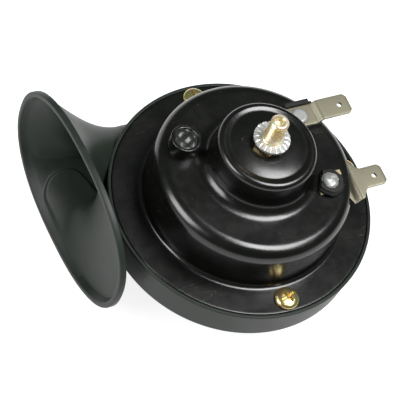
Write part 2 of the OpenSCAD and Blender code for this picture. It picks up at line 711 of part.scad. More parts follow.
module clamp_plate_lower() color("#a9adb0") placed()
    ring(armature_neck_d / 2, clamp_plate_d / 2, clamp_plate_bottom, clamp_plate_bottom + clamp_plate_t);

module clamp_nut() color("#a9adb0") placed()
    hex_nut(clamp_nut_af, clamp_nut_bottom, clamp_nut_h, armature_neck_d / 2);

module striker() color("#7c3b22") placed()
    ring(armature_stem_d / 2, striker_d / 2, striker_top - striker_t, striker_top);

module striker_clip() color("#8d9196") placed()
    ring(armature_stem_d / 2, armature_d / 2, striker_top - striker_t - clip_t, striker_top - striker_t);

// The clamped end of a leaf, with a solder tab between two places along Y
module leaf_foot(z0, t, tab_y0, tab_y1) difference() {
    union() {
        block(leaf_left, leaf_left + leaf_w, stack_back_y, leaf_root_y - bend_gap, z0, z0 + t);
        block(leaf_x, tab_x, tab_y0, tab_y1, z0, z0 + t);
    }
    translate([leaf_x, stack_y, 0]) disc(leaf_hole_d / 2, z0 - eps, z0 + t + eps);
}

module breaker_leaf() color("#c08a4a") placed() {
    leaf_top = striker_top + moving_leaf_t;
    block(leaf_left, leaf_left + leaf_w, leaf_root_y, moving_leaf_end_y, striker_top, leaf_top);
    block(leaf_x, -tongue_reach, -tongue_half_w, tongue_half_w, striker_top, leaf_top);
}

module breaker_leaf_foot() color("#c08a4a") placed()
    leaf_foot(striker_top, moving_leaf_t, stack_y, leaf_root_y - bend_gap);

module moving_contact() color("#d8d8d4") placed() translate([leaf_x, contact_y, 0])
    disc(contact_d / 2, striker_top - contact_h, striker_top);

module support_leaf() color("#b98d52") placed() block(leaf_left, leaf_left + leaf_w, leaf_root_y,
    support_leaf_end_y, fixed_leaf_bottom, fixed_leaf_top);

module support_leaf_foot() color("#b98d52") placed()
    leaf_foot(fixed_leaf_bottom, fixed_leaf_t, stack_back_y, stack_y);

module fixed_contact() color("#d8d8d4") placed() translate([leaf_x, contact_y, 0])
    disc(contact_d / 2, fixed_leaf_top, fixed_leaf_top + contact_h);

module stack_piece(z0, z1) difference() {
    block(leaf_x - stack_w / 2, leaf_x + stack_w / 2, stack_back_y, leaf_root_y, z0, z1);
    translate([leaf_x, stack_y, 0]) disc(stack_screw_d / 2, z0 - eps, z1 + eps);
}

module stack_block() color("#5a2d1c") placed() stack_piece(striker_top + moving_leaf_t, yoke_bottom);

module stack_spacer() color("#5a2d1c") placed() stack_piece(fixed_leaf_top, striker_top);

module stack_pad() color("#5a2d1c") placed() stack_piece(stack_bottom, fixed_leaf_bottom);

module stack_screw() color("#a9adb0") placed() translate([leaf_x, stack_y, 0]) {
    disc(stack_screw_d / 2, stack_bottom, pot_ceiling - 0.3);
    translate([0, 0, stack_bottom]) mirror([0, 0, 1]) difference() {
        pan_head(stack_screw_d * 0.95, stack_screw_d * 0.6);
        cross_recess(stack_screw_d, stack_screw_d * 0.25, stack_screw_d * 0.35, stack_screw_d * 0.6);
    }
}

module adjuster_bush() color("#15171a") placed() at_adjuster() difference() {
    union() {
        disc(adjuster_neck_d / 2, yoke_bottom, pot_h);
        disc(adjuster_bush_d / 2, pot_h, bush_top);
    }
    disc(adjuster_screw_d / 2 + adjuster_clearance, yoke_bottom - eps, bush_top);
    disc(adjuster_bush_d / 2 - adjuster_cup_wall, wax_bottom, bush_top + eps);
}

module adjusting_screw() color("#a9adb0") placed() at_adjuster() difference() {
    disc(adjuster_screw_d / 2, button_top, wax_bottom);
    rotate(30) block(-adjuster_screw_d, adjuster_screw_d, -driver_slot_w / 2, driver_slot_w / 2,
        wax_bottom - driver_slot_depth, wax_bottom + eps);
}

module adjuster_button() color("#e8e4d6") placed() at_adjuster()
    disc(button_d / 2, fixed_leaf_top, button_top);

module wax_seal() color("#0f1010") placed() at_adjuster() {
    wax_r = adjuster_bush_d / 2 - adjuster_cup_wall;
    rotate_extrude() polygon([[0, wax_bottom], [wax_r, wax_bottom], [wax_r, bush_top - 0.4],
        [wax_r * 0.8, bush_top - 0.1], [wax_r * 0.5, bush_top + 0.1], [0, bush_top + 0.15]]);
}

// A terminal strip in the XZ plane: flat, a rise, and the blade
module terminal_strip(x0, joggle_x, tip_x, z, rise, w) {
    up = joggle_x + joggle_len;
    rotate([90, 0, 0]) translate([0, 0, -w / 2]) linear_extrude(w) polygon([
        [x0, z], [joggle_x, z], [up, z + rise], [tip_x, z + rise], [tip_x, z + rise + blade_t],
        [up - blade_t * 0.4, z + rise + blade_t], [joggle_x - blade_t * 0.4, z + blade_t],
        [x0, z + blade_t]]);
}

module terminal(x0, joggle_x, tip_x, z, rise, w = blade_w) difference() {
    terminal_strip(x0, joggle_x, tip_x, z, rise, w);
    translate([tip_x - blade_hole_in, 0, 0]) disc(blade_hole_d / 2, z, z + rise + blade_t + eps);
    translate([rivet_x, 0, 0]) disc(rivet_d / 2, z - eps, z + blade_t + eps);
    for (s = [-1, 1]) translate([tip_x, s * blade_w / 2, z]) rotate(45)
        translate([-blade_corner * sqrt(2) / 2, -blade_corner * sqrt(2) / 2, -eps])
            cube([blade_corner * sqrt(2), blade_corner * sqrt(2), rise + blade_t + 2 * eps]);
}

module terminal_top() color("#b9b4a6") placed() translate([0, terminal_y, 0])
    terminal(rivet_x - blade_w / 2, top_joggle_x, top_blade_tip_x, top_strip_z, top_joggle_h);

// The side terminal is wide where it comes out of the pot, and narrows to its blade
module terminal_side() color("#b9b4a6") placed() translate([0, -terminal_y, 0]) intersection() {
    x0 = rivet_x - blade_w / 2;
    wide_x = side_joggle_x - blade_t;
    half = [[x0, blade_w / 2], [wide_x - blade_t, blade_w / 2], [wide_x, side_root_w / 2],
            [side_neck_x, side_root_w / 2], [side_neck_x + side_neck_len, blade_w / 2],
            [side_blade_tip_x, blade_w / 2]];
    terminal(x0, side_joggle_x, side_blade_tip_x, side_strip_z, side_joggle_h, side_root_w);
    other_half = [for (i = [len(half) - 1 : -1 : 0]) [half[i][0], -half[i][1]]];
    linear_extrude(pot_h) polygon(concat(half, other_half));
}

module rivet_head() rotate_extrude() polygon([[0, 0], [rivet_head_d / 2, 0],
    [rivet_head_d / 2, rivet_head_h * 0.6], [rivet_head_d * 0.43, rivet_head_h], [0, rivet_head_h]]);

module rivet(head_z) {
    disc(rivet_d / 2, side_strip_z, head_z);
    translate([0, 0, head_z]) rivet_head();
    translate([0, 0, side_strip_z]) mirror([0, 0, 1]) rivet_head();
}

module terminal_rivets() color("#b8bbbd") placed() {
    translate([rivet_x, terminal_y, 0]) rivet(top_strip_z + blade_t);
    translate([rivet_x, -terminal_y, 0]) rivet(pot_h + fibre_t + insulator_t);
}

// What lies on the pot's top stops short of the fillet at the boss's foot
module off_the_fillet() difference() {
    children();
    disc(boss_foot_x + insulator_foot_gap, pot_h - eps, boss_h);
}

module insulator_top() color("#1a1b1b") placed() off_the_fillet()
    translate([rivet_x, terminal_y, 0]) difference() {
        side = blade_w / 2 + insulator_lip_gap;
        union() {
            block(-blade_w / 2, insulator_reach, -side, side + insulator_lip_w, pot_h, top_strip_z);
            block(-blade_w / 2, top_joggle_x - rivet_x - insulator_lip_w / 2, side,
                side + insulator_lip_w, pot_h, top_strip_z + insulator_lip_h);
        }
        disc(rivet_d / 2, pot_h - eps, top_strip_z + eps);
    }

module fibre_sheet() color("#c9b58c") placed() off_the_fillet()
    translate([rivet_x, -terminal_y, 0]) difference() {
        block(fibre_reach - fibre_len, fibre_reach, -fibre_w / 2, fibre_w / 2, pot_h, pot_h + fibre_t);
        disc(rivet_d / 2, pot_h - eps, pot_h + fibre_t + eps);
    }

module insulator_low() color("#1a1b1b") placed() off_the_fillet()
    translate([rivet_x, -terminal_y, pot_h + fibre_t]) {
        ring(rivet_d / 2, low_foot_d / 2, 0, insulator_t / 2);
        ring(rivet_d / 2, low_neck_d / 2, insulator_t / 2, insulator_t);
    }

module rivet_bushes() color("#d9d4c4") placed() at_rivets()
    ring(rivet_d / 2, rivet_d / 2 + rivet_bush_t, yoke_bottom, pot_h);

module inner_washers() color("#d9d4c4") placed() {
    translate([rivet_x, terminal_y, 0]) ring(rivet_d / 2, rivet_head_d / 2 + 0.6, side_strip_z, yoke_bottom);
    translate([rivet_x, -terminal_y, 0])
        ring(rivet_d / 2, rivet_head_d / 2 + 0.6, side_strip_z + blade_t, yoke_bottom);
}

module slot_bush() color("#1a1b1b") placed() difference() {
    intersection() {
        terminal_slot();
        ring(pot_r - sheet_t, pot_r, 0, pot_h - pot_shoulder_r);
    }
    block(rivet_x, pot_r + eps, -terminal_y - side_root_w / 2, -terminal_y + side_root_w / 2,
        side_strip_z, pot_h);
}

// Inner leads: straight stretches with ball corners between hand-chosen points
module lead(points) {
    for (i = [0 : len(points) - 2]) {
        p = points[i];
        v = points[i + 1] - p;
        len_v = norm(v);
        translate(p) rotate([0, acos(v[2] / len_v), atan2(v[1], v[0])])
            cylinder(r = lead_d / 2, h = len_v, $fn = 24);
    }
    for (i = [1 : len(points) - 2]) translate(points[i]) sphere(r = lead_d * 0.6, $fn = 24);
}

lead_hole_feed = [9, 5.5, 0];
lead_hole_breaker = [-8, -7, 0];

module coil_lead_feed() color("#a8632a") placed() lead([
    lead_hole_feed + [0, 0, pot_ceiling - lead_lift], lead_hole_feed + [0, 0, lead_z],
    [rivet_x, terminal_y, lead_z]]);

module coil_lead_breaker() color("#a8632a") placed() {
    tab_z = striker_top + moving_leaf_t + lead_lift;
    lead([lead_hole_breaker + [0, 0, pot_ceiling - lead_lift], lead_hole_breaker + [0, 0, tab_z],
        [tab_x - tab_len / 2, stack_y + stack_len / 4, tab_z]]);
}

module contact_lead() color("#a8632a") placed() {
    tab_z = fixed_leaf_top + lead_lift;
    lead([[rivet_x, -terminal_y, lead_z], [rivet_x, -terminal_y, tab_z],
        [tab_x - tab_len / 2, stack_y - stack_len / 4, tab_z]]);
}

snail_rear();
snail_front();
bell();
pot_cover();
gasket_upper();
gasket_lower();
diaphragm();
flange_screws();
stud();
stud_nut();
toothed_washer();
fixed_core();
bobbin();
coil_winding();
yoke_plate();
armature();
clamp_plate_upper();
clamp_plate_lower();
clamp_nut();
striker();
striker_clip();
breaker_leaf();
breaker_leaf_foot();
moving_contact();
support_leaf();
support_leaf_foot();
fixed_contact();
stack_block();
stack_spacer();
stack_pad();
stack_screw();
adjuster_bush();
adjusting_screw();
adjuster_button();
wax_seal();
terminal_top();
terminal_side();
terminal_rivets();
insulator_top();
insulator_low();
fibre_sheet();
rivet_bushes();
inner_washers();
slot_bush();
coil_lead_feed();
coil_lead_breaker();
contact_lead();
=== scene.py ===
"""An electric snail horn in its looks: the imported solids, dressed with finer surfaces and finishes.

Sizes are in millimetres and heights are measured up from the top of the moulded rim, as on a
maker's drawing. in_frame() sets them into the part's own frame, in metres.
"""

import json
import logging
import math
from collections.abc import Callable, Iterator, Sequence
from contextlib import contextmanager
from dataclasses import dataclass, field
from enum import Enum

import bmesh
import bpy
import numpy as np
from mathutils import Matrix, Vector


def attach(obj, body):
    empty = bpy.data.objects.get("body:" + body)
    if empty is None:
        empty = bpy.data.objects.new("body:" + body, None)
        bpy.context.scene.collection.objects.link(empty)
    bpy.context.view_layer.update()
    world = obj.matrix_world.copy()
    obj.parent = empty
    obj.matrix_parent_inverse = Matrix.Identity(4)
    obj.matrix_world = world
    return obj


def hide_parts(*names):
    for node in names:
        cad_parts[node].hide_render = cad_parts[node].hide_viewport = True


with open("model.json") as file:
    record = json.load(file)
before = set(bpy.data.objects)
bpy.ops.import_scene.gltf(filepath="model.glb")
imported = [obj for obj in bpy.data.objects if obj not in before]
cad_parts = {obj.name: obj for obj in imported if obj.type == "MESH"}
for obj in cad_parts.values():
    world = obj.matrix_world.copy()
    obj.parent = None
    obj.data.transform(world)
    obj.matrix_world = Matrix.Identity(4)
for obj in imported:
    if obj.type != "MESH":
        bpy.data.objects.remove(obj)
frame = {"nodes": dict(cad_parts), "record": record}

LOG = logging.getLogger("horn")
MM = 0.001
TAU = 2 * math.pi
THREAD_FOOT = 31.5  # where the frame's origin lies, in millimetres above the rim
ROUND = 300  # stretches round the large turned pieces
SEAM = 2e-6  # metres: closer points become one where two solids were combined
SLIVER = 1e-9  # metres: shorter edges are dropped
SHARP = 40.0  # degrees: a bevel rounds the edges that turn more than this
Triple = tuple[float, float, float]
Number = np.ndarray | float
Grid = tuple[np.ndarray, np.ndarray]


class Join(Enum):
    """What a second solid does to a piece."""

    CUT = "DIFFERENCE"
    ADD = "UNION"
    SHARE = "INTERSECT"


def in_frame(points: np.ndarray) -> np.ndarray:
    """Turns millimetres above the rim into metres in the part's frame.

    Args:
        points: An array whose last axis holds x, y and z.

    Returns:
        The same points, set down by the height of the stud thread's foot and scaled.
    """
    return (points - np.array([0.0, 0.0, THREAD_FOOT])) * MM


def arc(cx: float, cz: float, r: float, start: float, stop: float, steps: int = 14) -> np.ndarray:
    """Points on a circular arc in a profile's plane.

    Args:
        cx: Centre along the profile's first axis.
        cz: Centre along its second axis.
        r: Radius.
        start: First angle, in degrees.
        stop: Last angle, in degrees.
        steps: Number of stretches.

    Returns:
        An array of steps + 1 points.
    """
    a = np.radians(np.linspace(start, stop, steps + 1))
    return np.stack([cx + r * np.cos(a), cz + r * np.sin(a)], axis=1)


def resample(profile: np.ndarray, longest: float) -> np.ndarray:
    """Splits a profile's long stretches, so that none is longer than a given length.

    Args:
        profile: Points of an open line.
        longest: Longest stretch allowed.

    Returns:
        The denser line, which keeps every given point.
    """
    pieces = []
    for a, b in zip(profile[:-1], profile[1:]):
        count = max(1, math.ceil(np.linalg.norm(b - a) / longest))
        pieces.append(np.linspace(a, b, count + 1)[:-1])
    return np.concatenate([*pieces, profile[-1:]])


def bend(start: np.ndarray, corner: np.ndarray, stop: np.ndarray, steps: int = 8) -> np.ndarray:
    """A smooth bend from one point to another, drawn towards a corner.

    Args:
        start: First point.
        corner: Corner that the bend rounds off.
        stop: Last point.
        steps: Number of stretches.

    Returns:
        Points that blend the three, by the squares of both shares and twice their product.
    """
    t = np.linspace(0, 1, steps + 1)[:, None]
    return (1 - t) ** 2 * start + 2 * t * (1 - t) * corner + t ** 2 * stop


def rod(r: float, z0: float, z1: float) -> np.ndarray:
    """The profile of a plain rod: out from the axis, up its side and back to the axis."""
    return np.array([[0, z0], [r, z0], [r, z1], [0, z1]])


def oblong(x0: float, x1: float, y0: float, y1: float) -> np.ndarray:
    """The four corners of an oblong, in turn."""
    return np.array([[x0, y0], [x1, y0], [x1, y1], [x0, y1]])


def polar(r: Number, a: np.ndarray, z: np.ndarray) -> np.ndarray:
    """Points by radius, angle and height: the radius times the angle's cosine and sine, and height."""
    return np.stack(np.broadcast_arrays(r * np.cos(a), r * np.sin(a), z), axis=-1)


def grid(points: np.ndarray, loop_rows: bool = False, loop_cols: bool = False) -> Grid:
    """Joins a grid of points into quads.

    Args:
        points: Array of rows of points, shape (rows, cols, 3).
        loop_rows: Whether the last row meets the first.
        loop_cols: Whether the last column meets the first.

    Returns:
        The flat list of points and the quads' corner numbers.
    """
    rows, cols = points.shape[:2]
    i = np.arange(rows if loop_rows else rows - 1)[:, None]
    j = np.arange(cols if loop_cols else cols - 1)[None, :]
    i2, j2 = (i + 1) % rows, (j + 1) % cols
    corners = np.broadcast_arrays(i * cols + j, i * cols + j2, i2 * cols + j2, i2 * cols + j)
    return points.reshape(-1, 3), np.stack(corners, axis=-1).reshape(-1, 4)


def revolved(profile: np.ndarray, steps: int) -> np.ndarray:
    """The points of a profile turned round the stud's axis, angle by angle.

    Args:
        profile: Points (radius, height).
        steps: Number of stretches round the axis.

    Returns:
        Array of shape (steps, points, 3).
    """
    a = np.linspace(0, TAU, steps, endpoint=False)[:, None]
    return polar(profile[None, :, 0], a, profile[None, :, 1])


def revolve(profile: np.ndarray, steps: int = ROUND, closed: bool = False) -> Grid:
    """Turns a profile of radius and height round the stud's axis.

    Args:
        profile: Points (radius, height).
        steps: Number of stretches round the axis.
        closed: Whether the profile's end meets its start.

    Returns:
        The surface as a grid.
    """
    return grid(revolved(profile, steps), loop_rows=True, loop_cols=closed)


def closed_tube(rings: np.ndarray) -> list[Grid]:
    """Joins closed rings of points and covers the first and the last with a fan.

    Args:
        rings: Array of shape (rings, points, 3).

    Returns:
        The wall and the two covers, as grids whose touching points are welded later.
    """
    covers = []
    for ring in (rings[0], rings[-1]):
        middle = np.broadcast_to(ring.mean(axis=0), ring.shape)
        covers.append(grid(np.stack([ring, middle]), loop_cols=True))
    return [grid(rings, loop_cols=True), *covers]


@contextmanager
def editing(mesh: bpy.types.Mesh) -> Iterator[bmesh.types.BMesh]:
    """Opens a mesh for edits, and writes them back when they are done.

    Args:
        mesh: The mesh.

    Yields:
        Its editable form.
    """
    work = bmesh.new()
    work.from_mesh(mesh)
    yield work
    work.to_mesh(mesh)
    work.free()


def solid(name: str, grids: Sequence[Grid], weld: float = 2e-4) -> bpy.types.Object:
    """Makes one mesh object of some grids, with welded seams and faces turned outwards.

    Args:
        name: The piece's name.
        grids: Surfaces in millimetres above the rim.
        weld: Points closer than this, in millimetres, become one.

    Returns:
        The new object, linked to the scene.
    """
    counts = np.cumsum([0] + [len(points) for points, _ in grids])
    points = in_frame(np.concatenate([points for points, _ in grids]))
    faces = np.concatenate([quads + start for (_, quads), start in zip(grids, counts)])
    mesh = bpy.data.meshes.new(name)
    mesh.from_pydata(points.tolist(), [], faces.tolist())
    with editing(mesh) as work:
        bmesh.ops.remove_doubles(work, verts=work.verts, dist=weld * MM)
        bmesh.ops.dissolve_degenerate(work, edges=work.edges, dist=SLIVER)
        bmesh.ops.recalc_face_normals(work, faces=work.faces)
    piece = bpy.data.objects.new(name, mesh)
    bpy.context.scene.collection.objects.link(piece)
    return piece


def settle(piece: bpy.types.Object) -> None:
    """Applies a piece's modifiers to its mesh.

    Args:
        piece: The piece.
    """
    bpy.context.view_layer.update()
    old = piece.data
    seen = piece.evaluated_get(bpy.context.evaluated_depsgraph_get())
    piece.data = bpy.data.meshes.new_from_object(seen)
    piece.modifiers.clear()
    bpy.data.meshes.remove(old)


def combine(piece: bpy.types.Object, other: bpy.types.Object, how: Join) -> None:
    """Combines a piece with another solid, which is used up, and closes the seams between them.

    Args:
        piece: The solid that stays.
        other: The solid that is used up.
        how: What the other does to the piece.
    """
    step = piece.modifiers.new("combine", "BOOLEAN")
    step.operation = how.value
    step.solver = "EXACT"
    step.object = other
    settle(piece)
    bpy.data.objects.remove(other)
    with editing(piece.data) as work:
        bmesh.ops.remove_doubles(work, verts=work.verts, dist=SEAM)
        bmesh.ops.dissolve_degenerate(work, edges=work.edges, dist=SEAM)
        bmesh.ops.holes_fill(work, edges=[edge for edge in work.edges if edge.is_boundary])


def bevel(piece: bpy.types.Object, width: float, segments: int = 2) -> None:
    """Rounds a piece's sharp edges.

    Args:
        piece: The piece.
        width: Width of the rounding, in millimetres.
        segments: Faces across it.
    """
    step = piece.modifiers.new("bevel", "BEVEL")
    step.width = width * MM
    step.segments = segments
    step.limit_method = "ANGLE"
    step.angle_limit = math.radians(SHARP)
    settle(piece)


def prism(name: str, outline: np.ndarray, z0: float, z1: float) -> bpy.types.Object:
    """A flat outline raised into a solid between two heights.

    Args:
        name: The piece's name.
        outline: Points (x, y) round the outline.
        z0: Lower height.
        z1: Upper height.

    Returns:
        The new object.
    """
    ends = [np.column_stack([outline, np.full(len(outline), z)]) for z in (z0, z1)]
    piece = solid(name, [grid(np.stack(ends), loop_cols=True)])
    with editing(piece.data) as work:
        bmesh.ops.holes_fill(work, edges=work.edges)
        bmesh.ops.recalc_face_normals(work, faces=work.faces)
    return piece


def lathe(name: str, profile: np.ndarray, centre: tuple[float, float] = (0, 0), steps: int = 96,
          wobble: Callable[[np.ndarray], np.ndarray] | None = None) -> bpy.types.Object:
    """A turned solid that stands on its own axis, with an optional hand-made unevenness.

    Args:
        name: The piece's name.
        profile: Points (radius, height), open between two points on the axis.
        centre: Where the axis stands.
        steps: Stretches round the axis.
        wobble: Moves the array of points before they are placed.

    Returns:
        The new object.
    """
    points = revolved(profile, steps)
    if wobble is not None:
        points = wobble(points)
    return solid(name, [grid(points + np.array([*centre, 0.0]), loop_rows=True)])


class Shader:
    """A node tree with short ways to add nodes and to join them."""

    def __init__(self, tree: bpy.types.NodeTree) -> None:
        """Keeps the tree."""
        self.tree = tree

    def add(self, kind: str, inputs: dict | None = None, **settings: object) -> bpy.types.Node:
        """Adds a node.

        Args:
            kind: The node's type, without its ShaderNode prefix.
            inputs: Values, or sockets to link, by input name or number.
            settings: Attributes of the node.

        Returns:
            The new node.
        """
        node = self.tree.nodes.new(kind if kind.startswith("NodeGroup") else "ShaderNode" + kind)
        for name, value in settings.items():
            setattr(node, name, value)
        for name, value in (inputs or {}).items():
            if isinstance(value, bpy.types.NodeSocket):
                self.tree.links.new(value, node.inputs[name])
            else:
                node.inputs[name].default_value = value
        return node

    def place(self) -> bpy.types.NodeSocket:
        """Where a point lies on its piece, in metres."""
        return self.add("TexCoord").outputs["Object"]

    def maths(self, how: str, a: object, b: object = 0.0, clamp: bool = False) -> bpy.types.NodeSocket:
        """The result of a sum on two values or sockets."""
        return self.add("Math", {0: a, 1: b}, operation=how, use_clamp=clamp).outputs[0]

    def blend(self, factor: object, a: object, b: object) -> bpy.types.NodeSocket:
        """The colour between two colours or sockets, by a factor."""
        return self.add("Mix", {0: factor, 6: a, 7: b}, data_type="RGBA").outputs[2]

    def ramp(self, value: bpy.types.NodeSocket, low: float, high: float) -> bpy.types.NodeSocket:
        """A value spread from nought at low to one at high, with soft ends."""
        spread = {"Value": value, "From Min": low, "From Max": high}
        return self.add("MapRange", spread, interpolation_type="SMOOTHSTEP").outputs["Result"]

    def noise(self, where: bpy.types.NodeSocket, scale: object, detail: float = 3, rough: float = 0.55,
              skew: float = 0.0) -> bpy.types.NodeSocket:
        """The value of a noise at a place."""
        look = {"Vector": where, "Scale": scale, "Detail": detail, "Roughness": rough, "Distortion": skew}
        return self.add("TexNoise", look).outputs["Fac"]


def effect(name: str, inputs: dict[str, float], outputs: dict[str, str],
           make: Callable[[Shader, dict], dict]) -> bpy.types.NodeTree:
    """Builds a shared effect once, as a node group.

    Args:
        name: The group's name.
        inputs: Names and defaults of its number inputs.
        outputs: Names and socket types of its outputs.
        make: Adds the nodes and returns the sockets for the outputs.

    Returns:
        The group.
    """
    if name in bpy.data.node_groups:
        return bpy.data.node_groups[name]
    tree = bpy.data.node_groups.new(name, "ShaderNodeTree")
    for label, default in inputs.items():
        socket = tree.interface.new_socket(label, in_out="INPUT", socket_type="NodeSocketFloat")
        socket.default_value = default
    for label, kind in outputs.items():
        tree.interface.new_socket(label, in_out="OUTPUT", socket_type=kind)
    shader = Shader(tree)
    given = shader.add("NodeGroupInput")
    result = shader.add("NodeGroupOutput")
    for label, socket in make(shader, {s.name: s for s in given.outputs}).items():
        tree.links.new(socket, result.inputs[label])
    return tree


def mottle_effect() -> bpy.types.NodeTree:
    """Cloudy change over the surface: a broad noise with a finer one in it, from nought to one."""

    def make(s: Shader, given: dict) -> dict:
        """Adds a broad noise and a finer one by their shares.

        Args:
            s: The group's nodes.
            given: Its inputs.

        Returns:
            The mask, by its name.
        """
        where, finer, share = s.place(), 6.3, 0.3
        broad = s.noise(where, given["Scale"], 4, 0.6, 0.4)
        fine = s.noise(where, s.maths("MULTIPLY", given["Scale"], finer), 2)
        both = s.maths("ADD", s.maths("MULTIPLY", broad, 1 - share), s.maths("MULTIPLY", fine, share))
        return {"Mask": s.ramp(both, 0.32, 0.68)}

    return effect("mottle", {"Scale": 100.0}, {"Mask": "NodeSocketFloat"}, make)


def grain_effect() -> bpy.types.NodeTree:
    """Fine surface relief: a small-scale noise as a height."""

    def make(s: Shader, given: dict) -> dict:
        """Makes one noise, closer together or farther apart by a number for each axis.

        Args:
            s: The group's nodes.
            given: Its inputs.

        Returns:
            The height, by its name.
        """
        spread = s.add("CombineXYZ", {0: given["Along X"], 1: given["Along Y"], 2: given["Along Z"]})
        moved = s.add("VectorMath", {0: s.place(), 1: spread.outputs[0]}, operation="MULTIPLY")
        return {"Height": s.noise(moved.outputs[0], given["Scale"], 3, 0.6)}

    return effect("grain", {"Scale": 1500.0, "Along X": 1.0, "Along Y": 1.0, "Along Z": 1.0},
                  {"Height": "NodeSocketFloat"}, make)


def speck_effect() -> bpy.types.NodeTree:
    """Dust specks and hairline scratches, as a mask that is nought nearly everywhere."""

    def make(s: Shader, given: dict) -> dict:
        """Takes the hearts of a few cells as specks, and thin bands of a stretched noise as scratches.

        Args:
            s: The group's nodes.
            given: Its inputs.

        Returns:
            The mask, by its name.
        """
        where = s.place()
        cells = s.add("TexVoronoi", {"Vector": where, "Scale": given["Scale"]})
        drawn = s.add("SeparateXYZ", {0: cells.outputs["Color"]}).outputs[0]
        heart = s.maths("SUBTRACT", 1.0, s.ramp(cells.outputs["Distance"], 0.05, 0.1))
        dots = s.maths("MULTIPLY", heart, s.ramp(drawn, 0.86, 0.9))
        long_way = {"Vector": where, "Rotation": (0.3, 0.5, 0.9), "Scale": (22.0, 500.0, 500.0)}
        wave = s.noise(s.add("Mapping", long_way).outputs[0], 1.0, 1, 0.4, 1.2)
        near = s.maths("ABSOLUTE", s.maths("SUBTRACT", wave, 0.5))
        hair = s.maths("SUBTRACT", 1.0, s.ramp(near, 0.0, 0.006))
        patch = s.ramp(s.noise(where, 70.0, 1), 0.56, 0.66)
        lines = s.maths("MULTIPLY", s.maths("MULTIPLY", hair, patch), given["Scratches"])
        specks = s.maths("MULTIPLY", dots, given["Specks"])
        return {"Mask": s.maths("MAXIMUM", specks, lines, clamp=True)}

    return effect("specks", {"Scale": 500.0, "Specks": 1.0, "Scratches": 1.0},
                  {"Mask": "NodeSocketFloat"}, make)


def passivation_effect() -> bpy.types.NodeTree:
    """The rainbow of a yellow zinc film: colours that follow a slowly turning noise.

    Returns:
        The group.
    """
    straw, gold, rose = (0.82, 0.66, 0.22), (0.88, 0.58, 0.18), (0.84, 0.54, 0.36)
    olive, green = (0.74, 0.70, 0.36), (0.56, 0.66, 0.24)

    def make(s: Shader, given: dict) -> dict:
        """Runs a ramp from straw through gold, rose and green and back, over a noise that repeats.

        Args:
            s: The group's nodes.
            given: Its inputs.

        Returns:
            The colour, by its name.
        """
        cloud = s.noise(s.place(), given["Scale"], 3, 0.5, 0.6)
        node = s.add("ValToRGB", {"Fac": s.maths("FRACT", s.maths("MULTIPLY", cloud, given["Bands"]))})
        stops = node.color_ramp.elements
        for end in stops:
            end.color = (*straw, 1.0)
        for place, colour in ((0.25, gold), (0.45, rose), (0.62, olive), (0.8, green)):
            stops.new(place).color = (*colour, 1.0)
        return {"Color": node.outputs["Color"]}

    return effect("passivation", {"Scale": 220.0, "Bands": 3.0}, {"Color": "NodeSocketColor"}, make)


@dataclass(frozen=True)
class Finish:
    """One surface finish: its colours, shine, relief and small faults.

    Attributes:
        name: The material's name.
        colour: Main colour.
        second: Colour that clouds over it.
        rough: Roughness.
        rough_spread: How much roughness changes over the surface.
        metal: Metallic share.
        coat: Weight of a clear coat.
        coat_rough: Roughness of that coat.
        shine: Specular level.
        mottle: Scale of the clouding, per metre.
        grain: Scale of the relief, per metre.
        stretch: Stretch of the relief along X, Y and Z.
        relief: Height of the relief, in millimetres.
        specks: Amount of dust specks.
        scratches: Amount of hairlines.
        rainbow: Whether a yellow zinc film gives the colour.
    """

    name: str
    colour: Triple
    second: Triple
    rough: float
    rough_spread: float = 0.1
    metal: float = 0.0
    coat: float = 0.0
    coat_rough: float = 0.1
    shine: float = 0.5
    mottle: float = 90.0
    grain: float = 1500.0
    stretch: Triple = (1.0, 1.0, 1.0)
    relief: float = 0.01
    specks: float = 0.0
    scratches: float = 0.0
    rainbow: bool = False

    def material(self) -> bpy.types.Material:
        """Builds the material, or returns it if it's there already.

        Returns:
            The material.
        """
        if self.name in bpy.data.materials:
            return bpy.data.materials[self.name]
        made = bpy.data.materials.new(self.name)
        made.use_nodes = True
        made.diffuse_color = (*self.colour, 1.0)
        made.node_tree.nodes.clear()
        s = Shader(made.node_tree)
        cloud = s.add("Group", {"Scale": self.mottle}, node_tree=mottle_effect()).outputs["Mask"]
        stretch = dict(zip(("Along X", "Along Y", "Along Z"), self.stretch))
        grain = s.add("Group", {"Scale": self.grain, **stretch}, node_tree=grain_effect())
        base: object = (*self.colour, 1.0)
        if self.rainbow:
            base = s.add("Group", node_tree=passivation_effect()).outputs["Color"]
        colour = s.blend(cloud, base, (*self.second, 1.0))
        least = self.rough - self.rough_spread / 2
        rough = s.maths("ADD", least, s.maths("MULTIPLY", cloud, self.rough_spread))
        if self.specks or self.scratches:
            dust, kept, rougher = 0.25, 0.5, 0.3
            amounts = {"Specks": self.specks, "Scratches": self.scratches}
            faults = s.add("Group", amounts, node_tree=speck_effect()).outputs["Mask"]
            pale = tuple(dust + kept * part for part in self.colour)
            colour = s.blend(faults, colour, (*pale, 1.0))
            rough = s.maths("ADD", rough, s.maths("MULTIPLY", faults, rougher), clamp=True)
        relief = {"Height": grain.outputs["Height"], "Distance": self.relief * MM, "Strength": 1.0}
        shader = s.add("BsdfPrincipled", {
            "Base Color": colour, "Roughness": rough, "Metallic": self.metal,
            "Normal": s.add("Bump", relief).outputs[0], "Coat Weight": self.coat,
            "Coat Roughness": self.coat_rough, "Specular IOR Level": self.shine})
        s.add("OutputMaterial", {"Surface": shader.outputs[0]})
        return made


